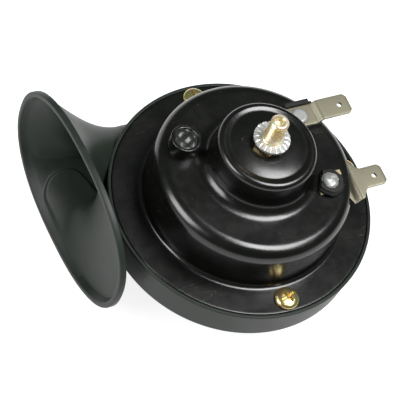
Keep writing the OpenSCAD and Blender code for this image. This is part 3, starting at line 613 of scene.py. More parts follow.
class Finishes:
    """The horn's finishes, by the record's material slots."""

    PAINT = Finish("black gloss paint", (0.002, 0.0023, 0.0018), (0.0036, 0.004, 0.0032), 0.24, 0.08,
                   shine=0.55, mottle=60, grain=700, relief=0.012, specks=0.12, scratches=0.12)
    PLASTIC = Finish("satin moulded plastic", (0.0125, 0.0165, 0.0135), (0.019, 0.025, 0.02), 0.42,
                     0.08, shine=0.2, mottle=45, grain=900, relief=0.012, specks=0.1, scratches=0.1)
    YELLOW = Finish("yellow zinc", (0.78, 0.6, 0.25), (0.6, 0.5, 0.22), 0.22, 0.1, metal=0.94,
                    mottle=260, grain=2500, relief=0.006, rainbow=True)
    PALE_YELLOW = Finish("pale yellow zinc", (0.86, 0.8, 0.55), (0.84, 0.8, 0.66), 0.28, 0.1,
                         metal=0.72, mottle=120, grain=2500, relief=0.006, rainbow=True)
    WHITE = Finish("bright zinc", (0.68, 0.69, 0.67), (0.57, 0.58, 0.56), 0.32, 0.12, metal=0.7,
                   mottle=300, grain=2400, relief=0.01)
    BLADE = Finish("tinned blade", (0.29, 0.272, 0.196), (0.23, 0.214, 0.155), 0.4, 0.1, metal=0.6,
                   mottle=160, grain=1800, stretch=(0.12, 1.0, 1.0), relief=0.006, scratches=0.2)
    RIVET = Finish("rivet aluminium", (0.4, 0.41, 0.4), (0.32, 0.33, 0.32), 0.46, 0.14, metal=0.55,
                   mottle=420, grain=1600, relief=0.03)
    WAX = Finish("black sealing wax", (0.012, 0.014, 0.012), (0.024, 0.027, 0.023), 0.34, 0.12,
                 shine=0.4, mottle=400, grain=900, relief=0.05)
    INSULATOR = Finish("black insulator", (0.006, 0.006, 0.006), (0.014, 0.014, 0.013), 0.55, 0.15,
                       shine=0.3, mottle=300, grain=1300, relief=0.03, specks=0.15)
    FIBRE = Finish("vulcanised fibre", (0.5, 0.42, 0.26), (0.38, 0.3, 0.17), 0.75, 0.1, mottle=500,
                   grain=2600, relief=0.03)
    GASKET = Finish("gasket board", (0.16, 0.14, 0.11), (0.1, 0.09, 0.07), 0.85, 0.08, mottle=400,
                    grain=2200, relief=0.03)
    SPRING = Finish("spring steel", (0.5, 0.51, 0.53), (0.38, 0.39, 0.42), 0.3, 0.1, metal=1.0,
                    mottle=150, grain=1500, relief=0.004)
    IRON = Finish("turned soft iron", (0.42, 0.42, 0.43), (0.3, 0.29, 0.28), 0.38, 0.12, metal=1.0,
                  mottle=220, grain=1800, relief=0.008)
    NYLON = Finish("natural nylon", (0.72, 0.69, 0.6), (0.64, 0.6, 0.5), 0.48, 0.08, mottle=120,
                   grain=1400, relief=0.008)
    COPPER = Finish("enamelled wire", (0.5, 0.17, 0.06), (0.36, 0.1, 0.035), 0.25, 0.08, metal=0.8,
                    coat=0.6, mottle=300, grain=2400, stretch=(1.0, 1.0, 3.0), relief=0.05)
    PHENOLIC = Finish("phenolic laminate", (0.14, 0.055, 0.03), (0.09, 0.035, 0.02), 0.5, 0.1,
                      mottle=500, grain=2200, stretch=(0.3, 0.3, 4.0), relief=0.015)
    BRONZE = Finish("phosphor bronze", (0.62, 0.4, 0.2), (0.5, 0.3, 0.14), 0.3, 0.1, metal=1.0,
                    mottle=240, grain=2000, stretch=(1.0, 0.15, 1.0), relief=0.004)
    CONTACT = Finish("tungsten contact", (0.6, 0.6, 0.58), (0.45, 0.45, 0.44), 0.35, 0.15, metal=1.0,
                     mottle=600, grain=2600, relief=0.008)

    BY_SLOT = {
        "housing": PLASTIC, "black_paint": PAINT, "gasket": GASKET, "spring_steel": SPRING,
        "yellow_zinc": YELLOW, "white_zinc": WHITE, "soft_iron": IRON, "bobbin_plastic": NYLON,
        "copper": COPPER, "phenolic": PHENOLIC, "bronze": BRONZE, "contact_metal": CONTACT, "wax": WAX,
        "blade_metal": BLADE, "rivet_metal": RIVET, "insulator": INSULATOR, "fibre": FIBRE}


def dress(piece: bpy.types.Object, slot: str, nodes: Sequence[str], crease: float = 35.0,
          finish: Finish | None = None) -> bpy.types.Object:
    """Gives a piece its finish, the body it rides on and the CAD nodes that it stands for.

    Args:
        piece: The piece.
        slot: The record's material slot.
        nodes: CAD nodes that it replaces.
        crease: Edges sharper than this, in degrees, stay sharp.
        finish: A finish of its own, where it differs from its slot's.

    Returns:
        The piece.
    """
    piece.data.materials.clear()
    piece.data.materials.append((finish or Finishes.BY_SLOT[slot]).material())
    piece.data.shade_smooth()
    piece.data.set_sharp_from_angle(angle=math.radians(crease))
    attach(piece, "housing")
    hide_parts(*nodes)
    return piece


@dataclass
class Duct:
    """The spiral air duct: its bore grows as it winds out, and it leaves straight along -X."""

    r_start: float = 3.6
    r_end: float = 8.4
    wall: float = 1.7
    start_reach: float = 6.0
    exit_reach: float = 26.3
    exit_angle: float = 90.0
    sweep: float = 400.0
    spread: float = 0.9
    roof: float = -5.0
    air_tail: float = 44.0
    air_lead: float = 0.3
    wall_tail: float = 37.3
    steps: int = 90
    sides: int = 40

    def rings(self, grow: float, tail: float, lead: float = 0.0) -> np.ndarray:
        """Rings round the duct's centre line, each with its top near the roof.

        The bore's radius rises evenly with the share of the sweep, and the reach by a power of it. A ring
        is a circle in the plane through the stud's axis: out by the cosine and down by the sine.

        Args:
            grow: Distance from the bore's wall, outwards.
            tail: Length of the straight end.
            lead: How far the spiral starts early, in degrees.

        Returns:
            Array of rings.
        """
        u = np.concatenate([np.linspace(0, 1, self.steps), [1.0]])[:, None]
        along = np.zeros_like(u)
        along[-1] = tail
        a = np.radians(self.exit_angle - (self.sweep + lead) * (1 - u))
        r = self.r_start + (self.r_end - self.r_start) * u
        f = np.linspace(0, TAU, self.sides, endpoint=False)[None, :]
        reach = self.start_reach + (self.exit_reach - self.start_reach) * u ** self.spread
        out = reach + (r + grow) * np.cos(f)
        z = self.roof - r - (r + grow) * np.sin(f)
        return np.stack([out * np.cos(a) - along, out * np.sin(a), z], axis=-1)

    def air(self, name: str) -> bpy.types.Object:
        """The duct's inside, as a solid to cut away."""
        return solid(name, closed_tube(self.rings(0.0, self.air_tail, self.air_lead)))

    def body(self, name: str) -> bpy.types.Object:
        """The duct's outside, as a solid."""
        return solid(name, closed_tube(self.rings(self.wall, self.wall_tail)))


@dataclass
class SnailHousing:
    """The moulded housing: a rear half with the rim, a front half with the spiral, and the lug."""

    rim_r: float = 38.0
    rim_round: float = 0.3
    rim_step: tuple[tuple[float, float], ...] = ((0.15, -0.9), (0.03, -0.8))
    pocket_r: float = 37.05
    pocket_round: float = 0.15
    foot_r: float = 37.3
    wall: float = 1.6
    rear_h: float = 9.6
    front_t: float = 1.8
    edge_r: float = 1.4
    seat_z: float = -2.3
    floor_z: float = -3.8
    chamber_r: float = 30.5
    throat_r: float = 3.5
    throat_end: float = -12.2
    throat_steps: int = 72
    deepest: float = -50.0
    duct_lap: float = 0.2
    throat_lap: float = 0.3
    lug_angle: float = -58.0
    lug_half: float = 2.5
    lug_inset: tuple[float, float] = (4.0, 1.0)
    lug_drop: float = 1.2
    lug_round: float = 0.4
    spacing: float = 1.0
    hair: float = 0.004
    duct: Duct = field(default_factory=Duct)

    def side(self) -> np.ndarray:
        """The outer side of the rear half: foot, tapered wall, small step and rounded rim.

        Returns:
            Points (radius, height), from the foot to the pocket.
        """
        rim, pocket = self.rim_round, self.pocket_round
        return np.concatenate([
            [[self.foot_r, -self.rear_h]], [[self.rim_r - inset, z] for inset, z in self.rim_step],
            arc(self.rim_r - rim, -rim, rim, 0, 90, 6),
            arc(self.pocket_r + pocket, -pocket, pocket, 90, 180, 4)])

    def core(self, name: str) -> bpy.types.Object:
        """The solid of revolution that the bell stops at, out to the tapered wall.

        Args:
            name: The solid's name.

        Returns:
            The new object.
        """
        low, high = self.deepest - 10, 3.0
        wall = resample(self.side()[:3], self.spacing)
        profile = np.concatenate([[[0, low], [self.foot_r, low]], wall, [[self.rim_r, high], [0, high]]])
        return solid(name, [revolve(profile)])

    def ducting(self, name: str, z0: float, z1: float) -> bpy.types.Object:
        """The duct's walls between two heights, inside the housing's foot, a hair clear of its faces.

        Args:
            name: The solid's name.
            z0: Lower height.
            z1: Upper height.

        Returns:
            The new object.
        """
        spiral = self.duct.body(name)
        drum = rod(self.foot_r - self.hair, z0 + self.hair, z1 - self.hair)
        combine(spiral, solid("drum", [revolve(drum)]), Join.SHARE)
        return spiral

    def throat(self, name: str, z0: float, z1: float) -> bpy.types.Object:
        """The throat's wall between two heights, no lower than under its end."""
        low = max(z0, self.throat_end - self.duct.wall)
        return lathe(name, rod(self.throat_r + self.duct.wall, low, z1), steps=self.throat_steps)

    def hollow(self, piece: bpy.types.Object) -> None:
        """Cuts the duct's air and the throat's out of a piece.

        Args:
            piece: The piece.
        """
        combine(piece, self.duct.air("air"), Join.CUT)
        throat = lathe("throat_air", rod(self.throat_r, self.throat_end, 0.0), steps=self.throat_steps)
        combine(piece, throat, Join.CUT)

    def rear(self) -> bpy.types.Object:
        """The rear half: the turned side, seat and chamber, less the duct's air.

        Returns:
            The dressed piece.
        """
        inner, roof = self.foot_r - self.wall, self.duct.roof
        profile = np.concatenate([
            [[0, roof + self.hair], [inner, roof + self.hair], [inner, -self.rear_h]],
            resample(self.side(), self.spacing),
            [[self.pocket_r, self.seat_z], [self.chamber_r, self.seat_z], [self.chamber_r, self.floor_z],
             [0, self.floor_z]]])
        piece = solid("housing_rear_half", [revolve(profile)])
        combine(piece, self.ducting("rear_ducting", -self.rear_h, roof + self.duct_lap), Join.ADD)
        throat = self.throat("rear_throat", -self.rear_h + 2 * self.hair, roof + self.throat_lap)
        combine(piece, throat, Join.ADD)
        self.hollow(piece)
        return dress(piece, "housing", ["snail_rear"])

    def front(self) -> bpy.types.Object:
        """The front half: the plate with a rounded edge, joined to the spiral and hollowed by its air.

        Returns:
            The dressed piece.
        """
        top, bottom = -self.rear_h, -self.rear_h - self.front_t
        plate = np.concatenate([
            [[0, top], [self.foot_r, top]],
            arc(self.foot_r - self.edge_r, bottom + self.edge_r, self.edge_r, 0, -90, 8),
            [[0, bottom]]])
        piece = solid("housing_front_half", [revolve(plate)])
        combine(piece, self.ducting("front_ducting", self.deepest, top), Join.ADD)
        combine(piece, self.throat("front_throat", self.deepest, top - 2 * self.hair), Join.ADD)
        combine(piece, self.lug(bottom - self.lug_drop, top - self.lug_round), Join.ADD)
        self.hollow(piece)
        return dress(piece, "housing", ["snail_front"])

    def lug(self, z0: float, z1: float) -> bpy.types.Object:
        """The small lug under the edge, a block with rounded corners set by its angle.

        Args:
            z0: Lower height.
            z1: Upper height.

        Returns:
            The new object.
        """
        turn = math.radians(self.lug_angle)
        r0, r1 = (self.foot_r - inset for inset in self.lug_inset)
        spin = np.array([[math.cos(turn), math.sin(turn)], [-math.sin(turn), math.cos(turn)]])
        piece = prism("lug", oblong(r0, r1, -self.lug_half, self.lug_half) @ spin, z0, z1)
        bevel(piece, self.lug_round)
        return piece

    def build(self) -> list[bpy.types.Object]:
        """Both halves."""
        return [self.rear(), self.front()]


@dataclass
class Bell:
    """The oval bell: four sides that open at their own rates from the round duct to the lip."""

    mouth_w: float = 64.6
    mouth_h: float = 45.2
    reach: float = 45.0
    mouth_y: float = 16.0
    mouth_z: float = -7.9
    turn: float = 2.6
    lip_depth: float = 1.8
    lip_proud: float = 0.8
    lip_back: tuple[tuple[float, float], ...] = ((0.05, 0.12), (0.12, 0.03), (0.3, 0.0))
    lip_front: tuple[tuple[float, float], ...] = (
        (0.3, 0.0), (0.1, 0.06), (0.0, 0.2), (0.0, 1.35), (0.08, 1.52), (0.3, 1.68))
    wall: float = 1.7
    roundness: float = 2.32
    start_x: float = -22.0
    root_x: float = -11.94
    crowding: float = 1.2
    outwards: float = 2.4
    inwards: float = 5.0
    upwards: float = 1.4
    downwards: float = 3.0
    ledge_h: float = 0.6
    ledge_at: float = 60.5
    ledge_bend: float = 0.55
    seam_h: float = 0.32
    seam_at: float = 44.2
    fold_h: float = 0.4
    fold_at: float = 0.84
    fold_w: float = 0.03
    sides: int = 300
    steps: int = 80
    duct: Duct = field(default_factory=Duct)

    def section(self, x: Number, y: Number, z: Number, half_w: Number, half_h: Number, power: Number,
                slant: Number) -> np.ndarray:
        """Rounded-oval rings: each side is the cosine or sine to a power of two over the roundness.

        Args:
            x: Where each ring lies along the bell.
            y: Where its middle lies across it.
            z: Height of its middle.
            half_w: Half of its width.
            half_h: Half of its height.
            power: Its roundness, which is 2 for an ellipse.
            slant: Its share of the mouth's turn.

        Returns:
            Array of rings.
        """
        f = np.linspace(0, TAU, self.sides, endpoint=False)[None, :]
        x, y, z, half_w, half_h, power, slant = (
            np.atleast_1d(v)[:, None] for v in (x, y, z, half_w, half_h, power, slant))
        c, s = np.cos(f), np.sin(f)
        dy = half_w * np.sign(c) * np.abs(c) ** (2 / power)
        dz = half_h * np.sign(s) * np.abs(s) ** (2 / power)
        return np.stack([x - slant * dy * math.tan(math.radians(self.turn)), y + dy, z - dz], axis=-1)

    def flare(self, inset: float) -> np.ndarray:
        """Rings from the duct to the back of the lip, which crowd together towards the lip.

        Args:
            inset: Distance inside the outer skin.

        Returns:
            Array of rings.
        """
        t = np.linspace(0, 1, self.steps)
        r, zc = self.duct.r_end + self.duct.wall, self.duct.roof - self.duct.r_end
        w, h = self.mouth_w / 2 - self.lip_proud, self.mouth_h / 2 - self.lip_proud
        lip_back = -self.reach + self.lip_depth
        x = self.start_x + (lip_back - self.start_x) * (1 - (1 - t) ** self.crowding)

        def edge(start: float, stop: float, power: float) -> np.ndarray:
            """One side's distance, which changes from the duct to the lip by a power of the share."""
            return start + (stop - start) * t ** power

        y1 = edge(self.duct.exit_reach + r, self.mouth_y + w, self.outwards)
        y0 = edge(self.duct.exit_reach - r, self.mouth_y - w, self.inwards)
        z1 = edge(zc + r, self.mouth_z + h, self.upwards)
        z0 = edge(zc - r, self.mouth_z - h, self.downwards)
        half_w, half_h = (y1 - y0) / 2 - inset, (z1 - z0) / 2 - inset
        power = 2 + (self.roundness - 2) * t
        return self.section(x, (y0 + y1) / 2, (z0 + z1) / 2, half_w, half_h, power, t * t)

    def inner(self) -> np.ndarray:
        """The inner skin, with a curved ledge, a straight one and a shallow fold.

        A ledge is a smooth step across a line, and dies out slowly on its raised side. The curved one's
        line is an angle round the bell that bends away with the square of the share of the length towards
        the lip, and with its cube towards the root. The fold is a bell curve across its own line.

        Returns:
            Array of rings.
        """
        t = np.linspace(0, 1, self.steps)[:, None]
        f = np.linspace(0, 360, self.sides, endpoint=False)[None, :]

        def step(value: np.ndarray) -> np.ndarray:
            """A smooth rise from nought to one."""
            value = np.clip(value, 0, 1)
            return value * value * (3 - 2 * value)

        def across(angle: np.ndarray, rise: float, top: float, fall: float) -> np.ndarray:
            """A ledge's height across its line, in degrees: a steep rise, a level top and a long fall."""
            return step(angle / rise) * (1 - step((angle - top) / fall))

        early, late = np.clip(self.ledge_bend - t, 0, 1), np.clip(t - self.ledge_bend, 0, 1)
        curl = f - (self.ledge_at + 57 * late ** 2 + 4600 * early ** 3)
        ledge = self.ledge_h * across(curl, 2.6, 4, 75) * step((t - 0.3) / 0.08)
        seam = self.seam_h * across(self.seam_at - f, 2.4, 3, 30)
        seam = seam * step((t - 0.34) / 0.08) * step((0.97 - t) / 0.1)
        line = t - (self.fold_at + 0.11 * np.clip((190 - f) / 56, 0, 1) ** 2)
        fold = self.fold_h * np.exp(-(line / self.fold_w) ** 2)
        fold = fold * step((f - 128) / 12) * step((205 - f) / 15)
        points = self.flare(self.wall)
        inwards = points.mean(axis=1, keepdims=True) - points
        inwards /= np.linalg.norm(inwards, axis=-1, keepdims=True)
        relief = (ledge + seam - fold) * step((1 - t) / 0.05)
        return points + inwards * relief[..., None]

    def lip(self, x: float, inset: float) -> np.ndarray:
        """One ring of the mouth's oval."""
        half_w, half_h = self.mouth_w / 2 - inset, self.mouth_h / 2 - inset
        return self.section(x, self.mouth_y, self.mouth_z, half_w, half_h, self.roundness, 1.0)

    def tube(self, inset: float) -> np.ndarray:
        """The round ring at the root, inside the housing."""
        r, z = self.duct.r_end + self.duct.wall - inset, self.duct.roof - self.duct.r_end
        return self.section(self.root_x, self.duct.exit_reach, z, r, r, 2.0, 0.0)

    def build(self) -> list[bpy.types.Object]:
        """Joins outside, lip and inside into one closed skin, from the root out and back.

        Returns:
            The dressed bell.
        """
        back, front = -self.reach + self.lip_depth, -self.reach
        rings = np.concatenate([
            self.tube(0.0), self.flare(0.0),
            *[self.lip(back - dx, inset) for dx, inset in self.lip_back],
            *[self.lip(front + dx, inset) for dx, inset in self.lip_front],
            self.inner()[::-1], self.tube(self.duct.wall)])
        piece = solid("bell_horn", [grid(rings, loop_rows=True, loop_cols=True)])
        combine(piece, SnailHousing().core("wall"), Join.CUT)
        return [dress(piece, "housing", ["bell"], crease=50)]


@dataclass
class SteelPot:
    """The pressed steel pot: flange, wall, flat top, filleted boss with a beaded edge, gentle dome."""

    sheet: float = 1.2
    flange_r: float = 36.9
    flange_round: float = 0.25
    flange_under: tuple[float, float] = (0.1, -0.4)
    wall_r: float = 28.2
    top_z: float = 16.2
    foot: float = 1.5
    shoulder: float = 4.0
    boss_r: float = 13.85
    boss_z: float = 28.0
    boss_foot: float = 3.9
    bead: float = 1.6
    bead_z: float = 26.0
    bead_sweep: float = 102.0
    groove_r: float = 10.97
    groove_z: float = 27.2
    groove_half: float = 0.6
    dome_drop: float = 0.85
    dome_end: float = 0.93
    flat_r: float = 5.0
    flat_under_r: float = 4.6
    stud_hole: float = 2.6
    holes: tuple[tuple[float, float, float], ...] = (
        (-1.16, -33.18, 1.8), (33.2, 0.0, 1.8), (0.0, 33.2, 1.8),
        (17.4, 10.5, 2.0), (17.4, -10.5, 2.0), (-18.08, 11.08, 3.2))
    flange_drill: tuple[float, float] = (-2.0, 1.0)
    top_drill: float = 3.0
    drill_steps: int = 40
    slot: tuple[float, float, float, float] = (21.0, 31.0, -17.25, -3.75)
    slot_z: tuple[float, float] = (11.0, 14.95)
    slot_round: float = 0.7
    spacing: float = 0.6

    def dome(self, share: np.ndarray) -> np.ndarray:
        """The dome's profile: it drops with the square of the share of the way out to the groove."""
        r = self.flat_r + (self.groove_r - self.flat_r) * share
        return np.stack([r, self.boss_z - self.dome_drop * share ** 2], axis=1)

    def outside(self) -> np.ndarray:
        """The outer skin from the flange's edge to the stud's hole: a chain of arcs and straights.

        Returns:
            Points (radius, height).
        """
        edge = self.flange_round
        bead = arc(self.boss_r - self.bead, self.bead_z, self.bead, 0, self.bead_sweep, 16)
        dome = self.dome(np.linspace(self.dome_end, 0, 15))
        groove = bend(bead[-1], np.array([self.groove_r - 0.05, self.groove_z]), dome[0])[1:-1]
        return np.concatenate([
            arc(self.flange_r - edge, -edge, edge, 0, 90, 4),
            arc(self.wall_r + self.foot, self.foot, self.foot, 270, 180),
            arc(self.wall_r - self.shoulder, self.top_z - self.shoulder, self.shoulder, 0, 90, 20),
            arc(self.boss_r + self.boss_foot, self.top_z + self.boss_foot, self.boss_foot, 270, 180, 20),
            bead, groove, dome, [[self.stud_hole, self.boss_z]]])

    def inside(self) -> np.ndarray:
        """The inner skin, one sheet's thickness in, from the stud's hole back to the flange's edge.

        Returns:
            Points (radius, height).
        """
        t, half, boss_foot = self.sheet, self.groove_half, self.boss_foot
        ceiling, under = self.boss_z - t, self.boss_z - self.dome_drop - t
        inset, low = self.flange_under
        return np.concatenate([
            [[self.stud_hole, ceiling], [self.flat_under_r, ceiling], [self.groove_r - half, under],
             [self.groove_r + half, under]],
            arc(self.boss_r - self.bead, self.bead_z, self.bead - t, 90, 0, 6),
            arc(self.boss_r + boss_foot, self.top_z + boss_foot, boss_foot + t, 180, 270, 8),
            arc(self.wall_r - self.shoulder, self.top_z - self.shoulder, self.shoulder - t, 90, 0, 8),
            arc(self.wall_r + self.foot, self.foot, self.foot + t, 180, 270, 8)[:-1],
            [[self.wall_r + self.foot, -t], [self.flange_r - inset, -t], [self.flange_r, low]]])

    def build(self) -> list[bpy.types.Object]:
        """Turns both skins as one closed profile, and cuts the holes and the terminal's slot.

        Returns:
            The dressed pot.
        """
        profile = np.concatenate([resample(self.outside(), self.spacing), self.inside()])
        piece = solid("steel_pot", [revolve(profile, closed=True)])
        drills = []
        for x, y, r in self.holes:
            ends = (self.top_z - self.top_drill, self.top_z + self.top_drill)
            if math.hypot(x, y) > self.wall_r:
                ends = self.flange_drill
            points = revolved(rod(r, *ends), self.drill_steps) + np.array([x, y, 0.0])
            drills.append(grid(points, loop_rows=True))
        combine(piece, solid("drills", drills), Join.CUT)
        slot = prism("slot", oblong(*self.slot), *self.slot_z)
        bevel(slot, self.slot_round, 4)
        combine(piece, slot, Join.CUT)
        return [dress(piece, "black_paint", ["pot_cover"], crease=45)]


@dataclass
class FixingStud:
    """The threaded stud, the hexagon nut under it and the toothed washer."""

    r: float = 2.5
    pitch: float = 0.8
    depth: float = 0.46
    root: float = 19.4
    foot: float = 31.0
    tip: float = 38.7
    tip_h: float = 0.45
    socket_r: float = 1.5
    socket_h: float = 2.0
    collar_r: float = 2.95
    collar_z: float = 30.0
    collar_h: float = 0.5
    chamfer: float = 0.12
    around: int = 96
    thread_rings: int = 190
    washer_r: float = 5.1
    washer_t: float = 0.8
    teeth: int = 18
    tooth_h: float = 0.3
    across_flats: float = 8.0
    nut_z: tuple[float, float] = (28.0, 30.2)
    nut_cone: tuple[float, float, float] = (4.5, 4.75, 4.2)
    nut_steps: int = 64

    def stud(self) -> bpy.types.Object:
        """The thread: the radius falls by its depth in a rounded saw along height and turn.

        Returns:
            The dressed piece.
        """
        tip, step_z, cut = self.tip, self.foot + self.collar_h, self.chamfer
        z = np.linspace(step_z, tip - self.tip_h, self.thread_rings)[:, None]
        a = np.linspace(0, TAU, self.around, endpoint=False)[None, :]
        saw = np.abs(((z / self.pitch - a / TAU) % 1) * 2 - 1)
        wave = np.clip(1.25 * saw - 0.12, 0, 1)
        fade = np.clip((tip - 0.5 - z) / 0.5, 0, 1) * np.clip((z - step_z) / 0.3, 0, 1)
        shank = polar(self.r - self.depth * wave * fade, a, z)
        neck = self.r - 0.02
        low = revolved(np.array([
            [0, self.root], [neck, self.root], [neck, self.collar_z], [self.collar_r, self.collar_z],
            [self.collar_r, step_z - cut], [self.collar_r - cut, step_z], [self.r, step_z]]),
            self.around)
        top = revolved(np.array([
            [self.r, tip - self.tip_h], [self.r - 0.45, tip - 0.04], [self.r - 0.55, tip],
            [self.socket_r + 0.1, tip], [self.socket_r, tip - cut],
            [self.socket_r - 0.1, tip - self.socket_h], [0, tip - self.socket_h - 0.3]]), self.around)
        skins = [grid(low, loop_rows=True), grid(shank, loop_cols=True), grid(top, loop_rows=True)]
        piece = solid("fixing_stud", skins, weld=2e-3)
        return dress(piece, "yellow_zinc", ["stud"], crease=32, finish=Finishes.PALE_YELLOW)

    def washer(self) -> bpy.types.Object:
        """The toothed washer: its top is a saw of slanted teeth that grows towards its rim.

        Returns:
            The dressed piece.
        """
        a = np.linspace(0, TAU, 16 * self.teeth, endpoint=False)[:, None]
        base, cut = self.foot - self.washer_t, 0.1
        edge = [(self.collar_r, base), (self.washer_r - cut, base), (self.washer_r, base + cut),
                (self.washer_r, self.foot - 0.35)]
        rim = np.linspace(self.washer_r - 0.03, self.collar_r, 14)
        lines = np.concatenate([edge, np.stack([rim, np.full_like(rim, self.foot)], axis=1)])
        r, z = lines[None, :, 0], lines[None, :, 1]
        grow = np.clip((r - self.collar_r - 0.35) / (self.washer_r - self.collar_r - 0.5), 0, 1)
        saw = np.clip(2.4 * np.abs((self.teeth * a / TAU % 1) * 2 - 1) - 1.2, 0, 1)
        z = z - (z > self.foot - 0.4) * self.tooth_h * saw * grow
        r = r * (1 - 0.012 * saw * (r > self.washer_r - 0.2))
        piece = solid("toothed_washer_ring", [grid(polar(r, a, z), loop_rows=True, loop_cols=True)])
        return dress(piece, "white_zinc", ["toothed_washer"], crease=28)

    def nut(self) -> bpy.types.Object:
        """The hexagon nut: six flats whose corners are rounded off by a cone.

        Returns:
            The dressed piece.
        """
        a = np.linspace(0, TAU, 6, endpoint=False)
        low, high = self.nut_z
        under, widest, over = self.nut_cone
        corners = self.across_flats / math.sqrt(3) * np.stack([np.cos(a), np.sin(a)], axis=1)
        piece = prism("hexagon_nut", corners, low, high)
        cone = np.array([[0, low - 0.1], [under, low - 0.1], [widest, low + 0.5], [widest, high - 0.4],
                         [over, high + 0.1], [0, high + 0.1]])
        combine(piece, solid("cone", [revolve(cone, self.nut_steps)]), Join.SHARE)
        bore = solid("bore", [revolve(rod(self.r, low - 1, high + 0.8), self.nut_steps)])
        combine(piece, bore, Join.CUT)
        bevel(piece, self.chamfer)
        return dress(piece, "yellow_zinc", ["stud_nut"])

    def build(self) -> list[bpy.types.Object]:
        """Stud, washer and nut."""
        return [self.stud(), self.washer(), self.nut()]


@dataclass
class FlangeScrews:
    """Three pan-head screws with a cross recess."""

    circle: float = 33.2
    head_r: float = 3.45
    head_h: float = 1.9
    edge_share: float = 0.3
    shank_r: float = 1.5
    length: float = 6.5
    slot_reach: float = 0.56
    slot_half: float = 0.12
    slot_h: float = 1.4
    slot_side: float = 0.14
    slot_end: float = 0.8
    pit_r: float = 0.78
    pit_side: float = 0.25
    around: int = 144
    angles: tuple[float, ...] = (-92.0, 0.0, 90.0)
    turns: tuple[float, ...] = (25.0, 65.0, 105.0)

    def head(self, turn: float) -> np.ndarray:
        """The head: a dome by a root of the radius, sunk where a point lies in a slot of the cross.

        Args:
            turn: The cross's angle, in degrees.

        Returns:
            Rings of points from the head's middle to its edge.
        """
        rho = np.sin(np.linspace(0, math.pi / 2, 50))[:, None]
        a = np.linspace(0, TAU, self.around, endpoint=False)[None, :]
        swell = np.sqrt(np.clip(1 - rho ** 2.6, 0, 1))
        dome = self.head_h * (self.edge_share + (1 - self.edge_share) * swell)
        x, y = self.head_r * rho * np.cos(a), self.head_r * rho * np.sin(a)
        c, s = math.cos(math.radians(turn)), math.sin(math.radians(turn))
        p, q = c * x + s * y, c * y - s * x
        reach, half = self.head_r * self.slot_reach, self.head_r * self.slot_half

        def slot(along: np.ndarray, across: np.ndarray) -> np.ndarray:
            """How far inside one slot a point lies, with steep sides and sloping ends."""
            sides, ends = half - np.abs(across), reach - np.abs(along)
            return np.minimum(sides / self.slot_side, ends / self.slot_end)

        pit = (self.pit_r - np.hypot(p, q)) / self.pit_side
        inside = np.clip(np.maximum(np.maximum(slot(p, q), slot(q, p)), pit), 0, 1)
        return np.stack([x, y, dome - self.slot_h * inside], axis=-1)

    def build(self) -> list[bpy.types.Object]:
        """All three screws as one group, each with its shank.

        Returns:
            The dressed group.
        """
        grids = []
        profile = np.array([
            [0, -self.length], [self.shank_r, -self.length], [self.shank_r, 0], [self.head_r - 0.1, 0],
            [self.head_r, 0.15], [self.head_r, self.edge_share * self.head_h]])
        for angle, turn in zip(self.angles, self.turns):
            a = math.radians(angle)
            place = self.circle * np.array([math.cos(a), math.sin(a), 0.0])
            grids.append(grid(self.head(turn) + place, loop_cols=True))
            grids.append(grid(revolved(profile, self.around) + place, loop_rows=True))
        piece = solid("pan_head_screws", grids, weld=1e-3)
        return [dress(piece, "yellow_zinc", ["flange_screws"], crease=32)]


